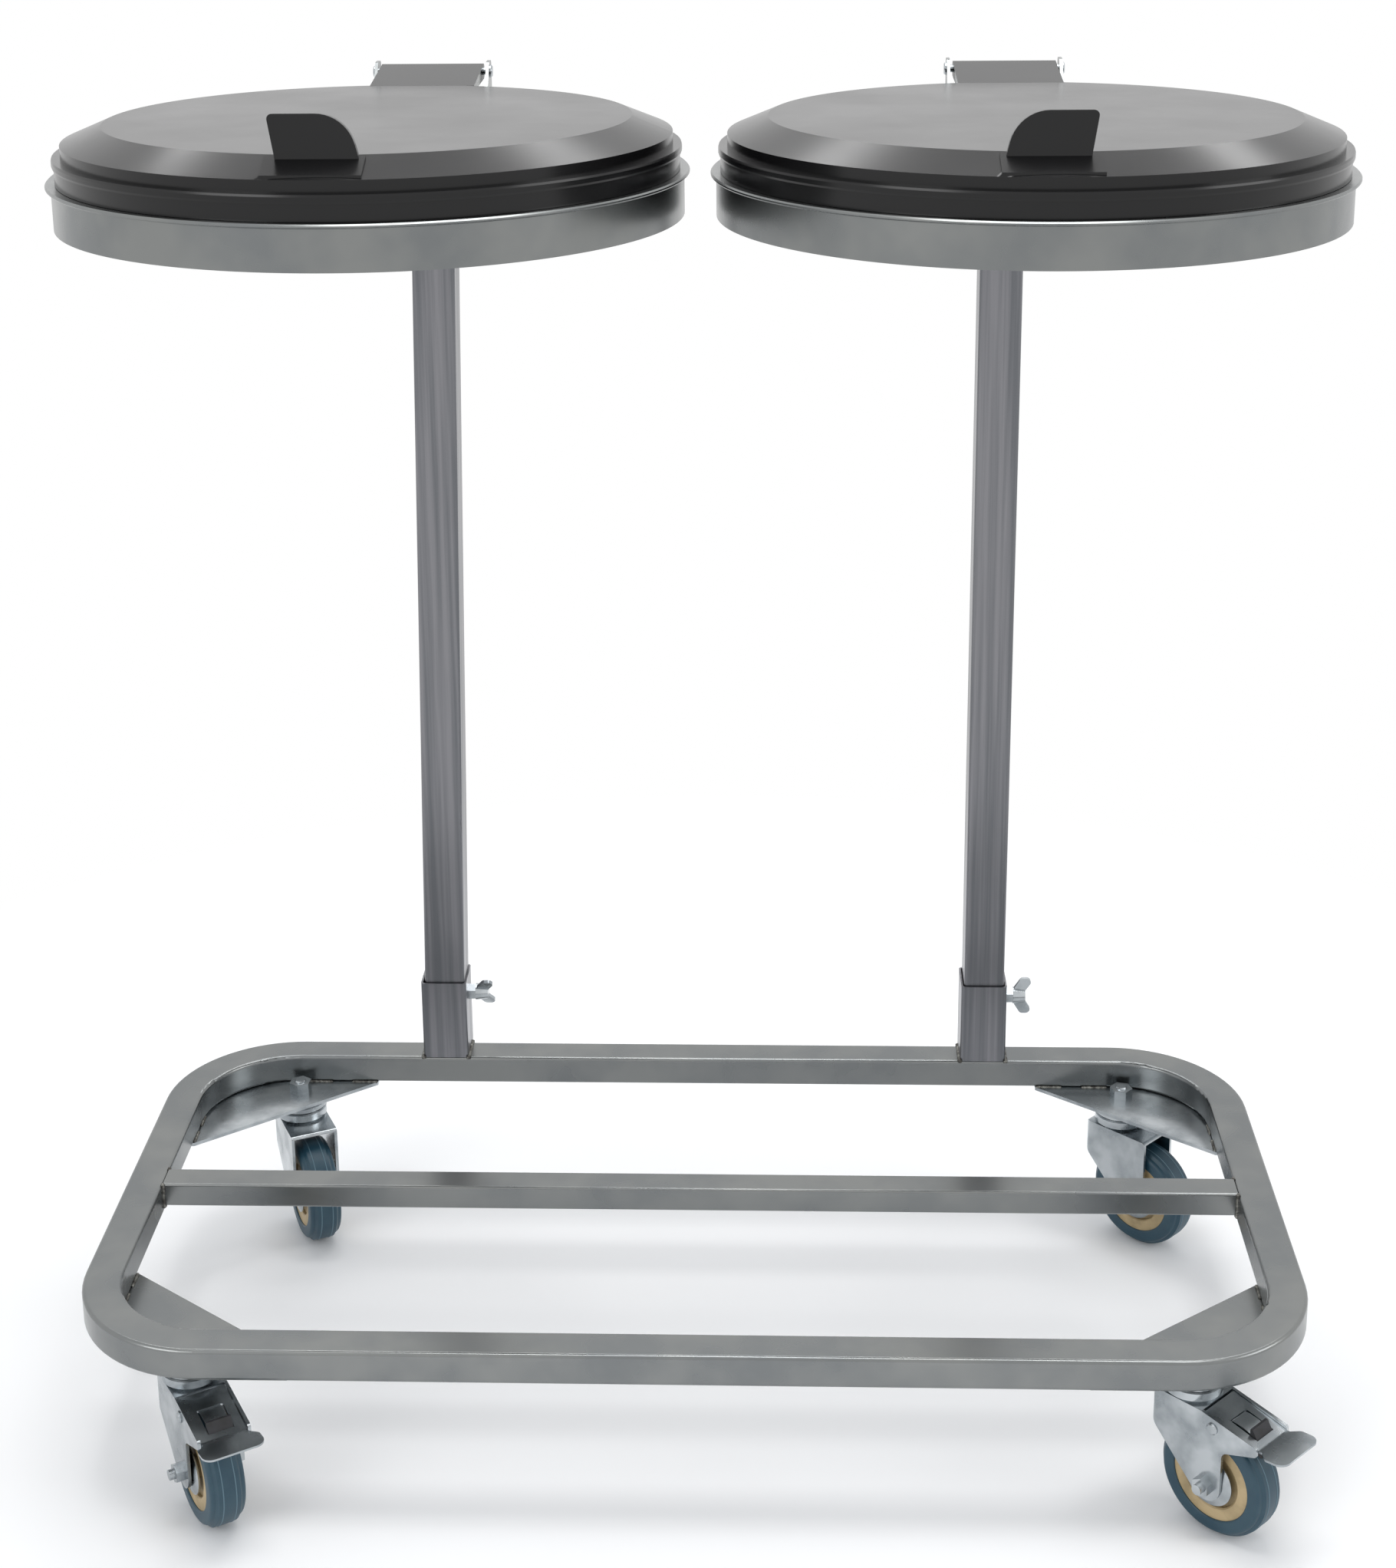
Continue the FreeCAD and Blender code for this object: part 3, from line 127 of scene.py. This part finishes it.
# Axle thread: distance of the nut's outer face from the wheel's middle, radius and length, then half the
# foot of the ridge as a share of the pitch and what stands out of the axle as a share of the depth
AXLE_NUT_FACE = 27 * MM
AXLE_RADIUS = 4 * MM
AXLE_THREAD_LENGTH = 3.2 * MM
THREAD_FOOT = 0.42
THREAD_CREST = 0.4


class HolderSizes(bpy.types.PropertyGroup):
    weld_radius: FloatProperty(
        name="Weld radius", description="Half width of a weld bead", default=2.2 * MM, unit="LENGTH")
    weld_step: FloatProperty(
        name="Weld ripple", description="Distance from one weld ripple to the next", default=1.5 * MM,
        unit="LENGTH")
    tread_width: FloatProperty(
        name="Tread width", description="Width of a tyre", default=28 * MM, unit="LENGTH")
    tyre_bore: FloatProperty(
        name="Tyre bore", description="Radius at which a tyre sits on its hub", default=32.05 * MM,
        unit="LENGTH")
    tread_line: FloatProperty(
        name="Tread line width", description="Width of the fine ridges that the mould leaves round the tread",
        default=0.9 * MM, unit="LENGTH")
    tread_line_place: FloatProperty(
        name="Tread line place", description="Distance of each ridge from the middle of the tyre",
        default=5 * MM, unit="LENGTH")
    thread_depth: FloatProperty(
        name="Thread depth", description="Height of the screw threads", default=0.35 * MM, unit="LENGTH")
    screw_pitch: FloatProperty(
        name="Screw pitch", description="Thread pitch of the axles", default=1.25 * MM, unit="LENGTH")
    spring_sheet: FloatProperty(
        name="Brake spring sheet", description="Thickness of the bright spring in the pedal's window",
        default=1.2 * MM, unit="LENGTH")
    spring_width: FloatProperty(
        name="Brake spring width", description="Width of the bright spring in the pedal's window",
        default=17 * MM, unit="LENGTH")


class HolderColours(bpy.types.PropertyGroup):
    tube_light: StringProperty(name="Tube, light", description="Zinc plating where it is clean",
                               default="#868887")
    tube_dark: StringProperty(name="Tube, dark", description="Zinc plating where it is dull",
                              default="#797c7d")
    post_light: StringProperty(name="Post, light", description="Warm plating of the posts",
                               default="#86868a")
    post_dark: StringProperty(name="Post, dark", description="Drawn streaks of the posts",
                              default="#6e7074")
    # Bright zinc and its dull patches also make the painted highlight on the rear corner plates
    bright_zinc: StringProperty(name="Bright zinc", description="Pressed castor parts and fasteners",
                                default="#bcc1c4")
    bright_dull: StringProperty(name="Bright zinc, dull", description="Fingered patches of the castors",
                                default="#979da1")
    lid_black: StringProperty(name="Lid", description="Black moulded lids", default="#0b0b0c")
    tyre_blue: StringProperty(name="Tyre", description="Blue-grey rubber", default="#1d3e4e")
    tyre_worn: StringProperty(name="Tyre, worn", description="Dusty rubber", default="#274654")
    tyre_line: StringProperty(name="Tyre line", description="Paler ridge of the tread", default="#56717e")
    hub_beige: StringProperty(name="Hub", description="Beige nylon", default="#b8a27a")
    hub_shade: StringProperty(name="Hub, dark", description="Stained nylon", default="#9a8763")
    shoe_black: StringProperty(name="Brake shoe", description="Black rubber", default="#141416")
    shoe_chalk: StringProperty(name="Brake shoe, chalky", description="Chalky rubber", default="#26262a")
    weld_grey: StringProperty(name="Weld", description="Weld bead under plating", default="#84847f")
    weld_dark: StringProperty(name="Weld, dark", description="Scorched edge of a bead", default="#4c4a47")
    floor_pale: StringProperty(name="Floor", description="Pale floor", default="#f7f7f7")


def sizes():
    return bpy.context.scene.holder_sizes


def colour(name):
    """Linear RGBA of one of the add-on's sRGB colours."""
    text = getattr(bpy.context.scene.holder_colours, name).lstrip("#")
    channels = [int(text[i:i + 2], 16) / 255 for i in (0, 2, 4)]
    linear = [c / 12.92 if c <= 0.04045 else ((c + 0.055) / 1.055) ** 2.4 for c in channels]
    return (*linear, 1.0)


# Materials
def add_node(tree, kind, links=None, **settings):
    """Adds a node, sets its properties and sockets, and links its inputs."""
    node = tree.nodes.new(kind)
    for name, value in settings.items():
        if hasattr(node, name):
            setattr(node, name, value)
        else:
            node.inputs[name.replace("_", " ")].default_value = value
    for name, source in (links or {}).items():
        tree.links.new(source, node.inputs[name])
    return node


def empty_material(name):
    """A new material and its node tree, without nodes."""
    made = bpy.data.materials.new(name)
    made.use_nodes = True
    made.node_tree.nodes.clear()
    return made, made.node_tree


def surface(name, light, dark, patch, rough, grain, metal=0.0, ior=None, relief=0.02):
    """Surface in two tints that follow soft patches, with a roughness that follows them and a fine relief.

    patch and grain are the sizes in millimetres of the patches and the relief, along X, Y and Z.
    rough is the roughness of the light tint and of the dark one, and relief its height in millimetres.
    """
    made, tree = empty_material(name)
    place = add_node(tree, "ShaderNodeTexCoord").outputs["Object"]
    maps = []
    for measure in (patch, grain):
        scaled = add_node(tree, "ShaderNodeMapping", {"Vector": place})
        scaled.inputs["Scale"].default_value = [1 / (part * MM) for part in measure]
        maps.append(add_node(tree, "ShaderNodeTexNoise", {"Vector": scaled.outputs[0]},
                             Scale=1.0, Detail=3.0, Roughness=0.5))
    patches, relief_map = maps
    tint = add_node(tree, "ShaderNodeValToRGB", {"Fac": patches.outputs["Fac"]})
    for stop, position, name_of in zip(tint.color_ramp.elements, TINT_RANGE, (dark, light)):
        stop.position = position
        stop.color = colour(name_of)
    sheen = add_node(tree, "ShaderNodeMapRange", {"Value": patches.outputs["Fac"]},
                     From_Min=SHEEN_RANGE[0], From_Max=SHEEN_RANGE[1], To_Min=rough[1], To_Max=rough[0])
    bumps = add_node(tree, "ShaderNodeBump", {"Height": relief_map.outputs["Fac"]},
                     Strength=RELIEF_STRENGTH, Distance=relief * MM)
    shader = add_node(tree, "ShaderNodeBsdfPrincipled", {
        "Base Color": tint.outputs["Color"],
        "Roughness": sheen.outputs["Result"],
        "Normal": bumps.outputs[0],
    })
    shader.inputs["Metallic"].default_value = metal
    if ior:
        shader.inputs["IOR"].default_value = ior
    add_node(tree, "ShaderNodeOutputMaterial", {"Surface": shader.outputs[0]})
    return made


def zinc_plated_tube():
    """Drawn steel tube, zinc plated: an even satin grey with faint clouds from the plating bath."""
    return surface("zinc_plated_tube", "tube_light", "tube_dark", (60, 60, 60), (0.24, 0.29),
                   (2, 2, 2), metal=1.0, relief=0.01)


def zinc_plated_post():
    """Square tube of the posts, zinc plated: warmer, with fine upright streaks left by the drawing die."""
    return surface("zinc_plated_post", "post_light", "post_dark", (5, 5, 300), (0.28, 0.34),
                   (1.2, 1.2, 90), metal=1.0, relief=0.008)


def bright_zinc_and_painted_highlight():
    """Sheet steel, pressed and bright zinc plated: glossy, with soft dents from the press tool. On the rear corner
    plates, which are plated with the frame, it is a painted highlight.
    """
    return surface("bright_zinc_and_painted_highlight", "bright_zinc", "bright_dull", (24, 24, 24), (0.2, 0.3),
                   (11, 11, 11), metal=1.0, relief=0.12)


def moulded_black_polypropylene():
    """Black polypropylene, injection moulded: nearly smooth with a low, even sheen."""
    return surface("moulded_black_polypropylene", "lid_black", "lid_black", (80, 80, 80), (0.2, 0.24),
                   (1.4, 1.4, 1.4), ior=1.42, relief=0.006)


def blue_grey_tyre_rubber():
    """Blue-grey thermoplastic rubber, moulded on its hub: matte, with a trace of floor dust."""
    return surface("blue_grey_tyre_rubber", "tyre_worn", "tyre_blue", (14, 14, 14), (0.46, 0.38),
                   (1, 1, 1), ior=1.5, relief=0.02)


def pale_tread_ridge():
    """Fine ridges that the mould leaves round the same rubber, rubbed pale by the floor."""
    return surface("pale_tread_ridge", "tyre_line", "tyre_line", (9, 9, 9), (0.5, 0.45),
                   (1, 1, 1), ior=1.5, relief=0.02)


def beige_moulded_nylon():
    """Beige nylon wheel centre, injection moulded: matte with a fine spark-eroded grain."""
    return surface("beige_moulded_nylon", "hub_beige", "hub_shade", (16, 16, 16), (0.45, 0.55),
                   (0.9, 0.9, 0.9), ior=1.53, relief=0.03)


def black_brake_rubber():
    """Black rubber brake shoe, moulded: matte and slightly chalky."""
    return surface("black_brake_rubber", "shoe_chalk", "shoe_black", (6, 6, 6), (0.6, 0.5),
                   (1, 1, 1), ior=1.5, relief=0.03)


def plated_weld_bead():
    """Weld bead plated along with the frame: duller and rougher than the tube, with scorched edges."""
    return surface("plated_weld_bead", "weld_grey", "weld_dark", (4, 4, 4), (0.34, 0.5),
                   (1, 1, 1), metal=1.0, relief=0.05)


def pale_studio_floor():
    """Matte studio floor, painted pale. It fades to plain white away from the object's shadow."""
    made, tree = empty_material("pale_studio_floor")
    paint = add_node(tree, "ShaderNodeBsdfDiffuse", Color=colour("floor_pale"))
    white = add_node(tree, "ShaderNodeEmission", Color=(1, 1, 1, 1), Strength=1.0)
    place = add_node(tree, "ShaderNodeTexCoord").outputs["Object"]
    away = add_node(tree, "ShaderNodeVectorMath", {0: place}, operation="LENGTH")
    fade = add_node(tree, "ShaderNodeMapRange", {"Value": away.outputs["Value"]},
                    From_Min=FLOOR_FADE[0], From_Max=FLOOR_FADE[1])
    rays = add_node(tree, "ShaderNodeLightPath").outputs
    seen = add_node(tree, "ShaderNodeMath", {0: rays["Is Camera Ray"], 1: rays["Is Glossy Ray"]},
                    operation="MAXIMUM")
    share = add_node(tree, "ShaderNodeMath", {0: seen.outputs[0], 1: fade.outputs["Result"]},
                     operation="MULTIPLY")
    mixed = add_node(tree, "ShaderNodeMixShader",
                     {0: share.outputs[0], 1: paint.outputs[0], 2: white.outputs[0]})
    add_node(tree, "ShaderNodeOutputMaterial", {"Surface": mixed.outputs[0]})
    return made


FINISHES = {
    "tube": zinc_plated_tube,
    "post": zinc_plated_post,
    "bright": bright_zinc_and_painted_highlight,
    "lid": moulded_black_polypropylene,
    "tyre": blue_grey_tyre_rubber,
    "ridge": pale_tread_ridge,
    "hub": beige_moulded_nylon,
    "shoe": black_brake_rubber,
    "weld": plated_weld_bead,
    "floor": pale_studio_floor,
}
MADE = {}


def material(finish):
    """A material, made once."""
    if finish not in MADE:
        MADE[finish] = FINISHES[finish]()
    return MADE[finish]


# Pieces
def piece_from(bm, name, finishes, body, smooth_degrees=30):
    """Turns a bmesh into a piece that rides on a body."""
    mesh = bpy.data.meshes.new(name)
    bm.to_mesh(mesh)
    bm.free()
    mesh.shade_smooth()
    mesh.set_sharp_from_angle(angle=math.radians(smooth_degrees))
    for finish in finishes:
        mesh.materials.append(material(finish))
    piece = bpy.data.objects.new(name, mesh)
    bpy.context.scene.collection.objects.link(piece)
    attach(piece, body)
    return piece


def joint_frame(name):
    """Matrix from a level joint's own frame, its axis along Y and Z upward, to the object's frame."""
    axis = Vector(JOINTS[name]["axis"])
    up = Vector((0, 0, 1))
    turned = Matrix((axis.cross(up), axis, up)).transposed().to_4x4()
    return Matrix.Translation(Vector(JOINTS[name]["pos_m"])) @ turned


def weld_bead(bm, start, end, radius, step):
    """Overlapping flattened drops along a straight seam."""
    start = Vector(start)
    run = Vector(end) - start
    count = max(2, int(run.length / step))
    across = run.to_track_quat("X", "Z").to_matrix().to_4x4()
    for i in range(count + 1):
        swell = 1 + sum(share * math.sin(i * rate) for share, rate in WELD_WAVES)
        shape = Matrix.Diagonal((1.0, swell, swell * WELD_FLATNESS, 1.0))
        place = Matrix.Translation(start + run * (i / count)) @ across @ shape
        bmesh.ops.create_icosphere(bm, subdivisions=1, radius=radius, matrix=place)


def screw_thread(bm, place, radius, depth, pitch, length, segments=20):
    """Helical ridge about the Z axis of a placed frame."""
    half = pitch * THREAD_FOOT
    steps = int(segments * length / pitch)
    foot = radius - depth
    corners = [(foot, 0, -half), (radius + depth * THREAD_CREST, 0, 0), (foot, 0, half)]
    face = bm.faces.new([bm.verts.new(place @ Vector(corner)) for corner in corners])
    axis = (place.to_3x3() @ Vector((0, 0, 1))).normalized()
    bmesh.ops.spin(bm, geom=[face], cent=place.translation, axis=axis, dvec=axis * (pitch / segments),
                   angle=math.tau * steps / segments, steps=steps, use_duplicate=False)
    bmesh.ops.recalc_face_normals(bm, faces=bm.faces)


class HOLDER_OT_stage(bpy.types.Operator):
    """Adds the camera, the pale floor, the soft lamps and the world"""
    bl_idname = "holder.stage"
    bl_label = "Stage"

    def execute(self, context):
        scene = context.scene
        scene.view_settings.view_transform = "Standard"
        lens = bpy.data.cameras.new("camera")
        lens.sensor_width = SENSOR
        lens.lens = FOCAL_PIXELS * SENSOR / IMAGE_HEIGHT
        lens.shift_y = (CENTRE_ROW - IMAGE_HEIGHT / 2) / IMAGE_HEIGHT
        lens.clip_start = CLIP_START
        camera = bpy.data.objects.new("camera", lens)
        scene.collection.objects.link(camera)
        camera.matrix_world = (
            Matrix.Translation(CAMERA_PLACE)
            @ Matrix.Rotation(CAMERA_YAW, 4, "Z")
            @ Matrix.Rotation(math.pi / 2 - CAMERA_PITCH, 4, "X")
            @ Matrix.Rotation(CAMERA_ROLL, 4, "Z")
        )
        scene.camera = camera
        self.floor(scene)
        self.lamps(scene)
        self.world(scene)
        return {"FINISHED"}

    def floor(self, scene):
        bm = bmesh.new()
        bmesh.ops.create_grid(bm, x_segments=1, y_segments=1, size=FLOOR_HALF)
        mesh = bpy.data.meshes.new("floor")
        bm.to_mesh(mesh)
        bm.free()
        mesh.materials.append(material("floor"))
        floor = bpy.data.objects.new("floor", mesh)
        scene.collection.objects.link(floor)

    def lamps(self, scene):
        for name, place, aim, length, width, watts in LAMPS:
            lamp = bpy.data.lights.new(name, "AREA")
            lamp.shape = "RECTANGLE"
            lamp.size = length
            lamp.size_y = width
            lamp.energy = watts
            item = bpy.data.objects.new(name, lamp)
            scene.collection.objects.link(item)
            turned = (Vector(aim) - Vector(place)).to_track_quat("-Z", "Y").to_matrix().to_4x4()
            item.matrix_world = Matrix.Translation(place) @ turned

    def world(self, scene):
        """White where the camera, a mirror or glass looks, and a plain grey light elsewhere."""
        world = bpy.data.worlds.new("studio")
        scene.world = world
        world.use_nodes = True
        tree = world.node_tree
        tree.nodes.clear()
        rays = add_node(tree, "ShaderNodeLightPath").outputs
        seen = add_node(tree, "ShaderNodeMath", {0: rays["Is Camera Ray"], 1: rays["Is Glossy Ray"]},
                        operation="MAXIMUM")
        clear = add_node(tree, "ShaderNodeMath", {0: seen.outputs[0], 1: rays["Is Transmission Ray"]},
                         operation="MAXIMUM")
        light = add_node(tree, "ShaderNodeBackground", Color=ROOM_LIGHT, Strength=ROOM_STRENGTH)
        white = add_node(tree, "ShaderNodeBackground", Color=(1, 1, 1, 1), Strength=1.0)
        mixed = add_node(tree, "ShaderNodeMixShader",
                         {0: clear.outputs[0], 1: light.outputs[0], 2: white.outputs[0]})
        add_node(tree, "ShaderNodeOutputWorld", {"Surface": mixed.outputs[0]})


class HOLDER_OT_finishes(bpy.types.Operator):
    """Gives every solid of the frame its finish, and the rear corner plates the lighter bright zinc finish as a
    painted highlight
    """
    bl_idname = "holder.finishes"
    bl_label = "Finishes"

    SLOT_FINISH = {
        "zinc_plated_steel": "tube",
        "post_steel": "post",
        "bright_zinc": "bright",
        "lid_plastic": "lid",
        "tyre_rubber": "tyre",
        "hub_plastic": "hub",
        "black_rubber": "shoe",
    }

    def execute(self, context):
        for part in frame["record"]["subparts"]:
            node = frame["nodes"][part["node"]]
            node.data.materials.clear()
            # The rear corner plates are welded and plated like the front ones, and get the lighter, glossier
            # bright zinc finish as a painted highlight
            rear_plate_painted_highlight = part["node"].startswith("corner_plate_rear")
            finish = "bright" if rear_plate_painted_highlight else self.SLOT_FINISH[part["material_slot"]]
            node.data.materials.append(material(finish))
        return {"FINISHED"}


class HOLDER_OT_tyres(bpy.types.Operator):
    """Models the four tyres with their crown and the two fine ridges round the tread"""
    bl_idname = "holder.tyres"
    bl_label = "Tyres"

    def profile(self, radius, line, wide):
        """Half section of the tyre from its bore to its middle, as (across, radius).

        line is the distance of each ridge from the middle, and wide half the ridge's width.
        """
        half = sizes().tread_width / 2
        bore = sizes().tyre_bore
        top = radius - CROWN_FALL
        points = [(half - TYRE_CHAMFER, bore), (half, bore + TYRE_CHAMFER), (half, top - TYRE_SHOULDER)]
        for i in range(1, SHOULDER_STEPS + 1):
            angle = math.pi / 2 * i / SHOULDER_STEPS
            points.append((half - TYRE_SHOULDER * (1 - math.cos(angle)),
                           top - TYRE_SHOULDER * (1 - math.sin(angle))))
        for across in (*CROWN_PLACES, line + wide):
            fall = CROWN_FALL * ((across - line) / half) ** 2
            points.append((across, radius - BESIDE_RIDGE - fall))
        points += [(line + wide / 2, radius), (line - wide / 2, radius),
                   (line - wide, radius - BETWEEN_RIDGES), (0, radius - MIDWAY)]
        return points

    def execute(self, context):
        line = sizes().tread_line_place
        wide = sizes().tread_line / 2
        for corner in CORNERS:
            low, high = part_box(f"tyre_{corner}")
            half = self.profile((high.z - low.z) / 2, line, wide)
            outline = half + [(-across, radius) for across, radius in reversed(half[:-1])]
            bm = bmesh.new()
            ring = [bm.verts.new((radius, across, 0)) for across, radius in outline]
            edges = [bm.edges.new((ring[i], ring[(i + 1) % len(ring)])) for i in range(len(ring))]
            bmesh.ops.spin(bm, geom=ring + edges, cent=(0, 0, 0), axis=(0, 1, 0), angle=math.tau,
                           steps=TYRE_STEPS, use_merge=True)
            bmesh.ops.recalc_face_normals(bm, faces=bm.faces)
            for face in bm.faces:
                middle = face.calc_center_median()
                on_tread = math.hypot(middle.x, middle.z) > sizes().tyre_bore + TREAD_ABOVE_BORE
                if on_tread and abs(abs(middle.y) - line) < wide:
                    face.material_index = 1
            bmesh.ops.transform(bm, matrix=joint_frame(f"wheel_{corner}_roll"), verts=bm.verts)
            piece = piece_from(bm, f"tyre_{corner}_tread", ("tyre", "ridge"), f"wheel_{corner}")
            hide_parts(f"tyre_{corner}")
        return {"FINISHED"}


class HOLDER_OT_springs(bpy.types.Operator):
    """Adds the bright bent spring that shows in each brake pedal's window"""
    bl_idname = "holder.springs"
    bl_label = "Brake springs"

    def execute(self, context):
        half = sizes().spring_width / 2
        for corner in BRAKED:
            bm = bmesh.new()
            rows = [bm.verts.new((along, -half, up)) for along, up in SPRING_PATH]
            edges = [bm.edges.new(pair) for pair in zip(rows, rows[1:])]
            swept = bmesh.ops.extrude_edge_only(bm, edges=edges)
            moved = [item for item in swept["geom"] if isinstance(item, bmesh.types.BMVert)]
            bmesh.ops.translate(bm, vec=(0, 2 * half, 0), verts=moved)
            bmesh.ops.recalc_face_normals(bm, faces=bm.faces)
            bmesh.ops.solidify(bm, geom=bm.faces, thickness=sizes().spring_sheet)
            bmesh.ops.recalc_face_normals(bm, faces=bm.faces)
            bmesh.ops.transform(bm, matrix=joint_frame(f"brake_{corner}_press"), verts=bm.verts)
            piece_from(bm, f"brake_spring_{corner}", ("bright",), f"brake_{corner}")
        return {"FINISHED"}


class HOLDER_OT_welds(bpy.types.Operator):
    """Adds the weld beads of the frame, the sockets and the hoops"""
    bl_idname = "holder.welds"
    bl_label = "Weld beads"

    def execute(self, context):
        radius = sizes().weld_radius
        step = sizes().weld_step
        self.frame_welds(radius, step)
        self.hoop_welds(radius, step)
        return {"FINISHED"}

    def frame_welds(self, radius, step):
        """Beads at the ends of the cross bar and round the feet of the sockets, and the plates' stitches."""
        bm = bmesh.new()
        low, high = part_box("cross_bar")
        for x in (low.x, high.x):
            for y in (low.y, high.y):
                weld_bead(bm, (x, y, high.z - radius / 2), (x, y, low.z), radius, step)
            weld_bead(bm, (x, low.y, low.z), (x, high.y, low.z), radius, step)
        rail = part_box("base_loop")[1]
        behind = rail.z - radius / 2
        for side in SIDES:
            low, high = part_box(f"socket_{side}")
            for x in (low.x, high.x):
                weld_bead(bm, (x, low.y, rail.z), (x, rail.y, rail.z), radius, step)
            weld_bead(bm, (low.x, rail.y, behind), (high.x, rail.y, behind), radius, step)
        self.plate_welds(bm, radius * PLATE_WELD, step)
        piece_from(bm, "frame_weld_beads", ("weld",), "base", 60)

    def plate_welds(self, bm, radius, step):
        """Short stitches where the corner plates meet the inner faces of the rails."""
        rail_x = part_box("cross_bar")[1].x
        rail_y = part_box("base_loop")[1].y - RAIL_WIDTH
        for corner in CORNERS:
            low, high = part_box(f"corner_plate_{corner}")
            top = high.z
            along = 1 if corner.endswith("right") else -1
            across = 1 if corner.startswith("rear") else -1
            end_x = min(abs(low.x), abs(high.x))
            end_y = min(abs(low.y), abs(high.y))
            for near, far in LONG_RAIL_STITCHES:
                y = across * rail_y
                weld_bead(bm, (along * (end_x + near), y, top), (along * (end_x + far), y, top),
                          radius, step)
            for near, far in SIDE_RAIL_STITCHES:
                x = along * rail_x
                weld_bead(bm, (x, across * (end_y + near), top), (x, across * (end_y + far), top),
                          radius, step)

    def hoop_welds(self, radius, step):
        """Beads between each post, its hoop's band and the seat of its hinge."""
        for side in SIDES:
            bm = bmesh.new()
            post_low, post_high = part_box(f"post_{side}")
            seat_low, seat_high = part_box(f"hinge_bracket_{side}")
            band_low, band_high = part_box(f"hoop_{side}")
            middle = (seat_low.x + seat_high.x) / 2
            half = (post_high.y - post_low.y) / 2 - POST_INSET
            left, right = middle - half, middle + half
            front, back = post_low.y, post_high.y
            for x in (left, right):
                weld_bead(bm, (x, front, band_low.z), (x, front, band_high.z - HOOP_RIM),
                          radius * UPRIGHT_WELD, step)
            weld_bead(bm, (left, front, band_low.z), (right, front, band_low.z), radius * BAND_WELD, step)
            weld_bead(bm, (left, back, seat_low.z), (right, back, seat_low.z), radius * SEAT_WELD, step)
            piece_from(bm, f"hoop_weld_beads_{side}", ("weld",), f"mast_{side}", 60)


class HOLDER_OT_threads(bpy.types.Operator):
    """Adds the screw threads that show on the axles' ends"""
    bl_idname = "holder.threads"
    bl_label = "Screw threads"

    def execute(self, context):
        to_nut = Matrix.Translation((0, -AXLE_NUT_FACE, 0)) @ Matrix.Rotation(math.pi / 2, 4, "X")
        for corner in CORNERS:
            bm = bmesh.new()
            screw_thread(bm, joint_frame(f"wheel_{corner}_roll") @ to_nut, AXLE_RADIUS,
                         sizes().thread_depth, sizes().screw_pitch, AXLE_THREAD_LENGTH)
            piece_from(bm, f"axle_thread_{corner}", ("bright",), f"yoke_{corner}")
        return {"FINISHED"}


class HOLDER_PT_panel(bpy.types.Panel):
    bl_idname = "HOLDER_PT_panel"
    bl_label = "Twin bin bag holder"
    bl_space_type = "VIEW_3D"
    bl_region_type = "UI"
    bl_category = "Bag holder"

    def draw(self, context):
        for operator in OPERATORS:
            self.layout.operator(operator.bl_idname)
        for group in (context.scene.holder_sizes, context.scene.holder_colours):
            box = self.layout.box()
            for name in group.__annotations__:
                box.prop(group, name)


OPERATORS = (
    HOLDER_OT_stage,
    HOLDER_OT_finishes,
    HOLDER_OT_tyres,
    HOLDER_OT_springs,
    HOLDER_OT_welds,
    HOLDER_OT_threads,
)
CLASSES = (HolderSizes, HolderColours) + OPERATORS + (HOLDER_PT_panel,)


def register():
    for item in CLASSES:
        bpy.utils.register_class(item)
    bpy.types.Scene.holder_sizes = PointerProperty(type=HolderSizes)
    bpy.types.Scene.holder_colours = PointerProperty(type=HolderColours)


def unregister():
    del bpy.types.Scene.holder_colours
    del bpy.types.Scene.holder_sizes
    for item in reversed(CLASSES):
        bpy.utils.unregister_class(item)


def main():
    register()
    for operator in OPERATORS:
        group, name = operator.bl_idname.split(".")
        getattr(getattr(bpy.ops, group), name)()


if __name__ == "__main__":
    main()
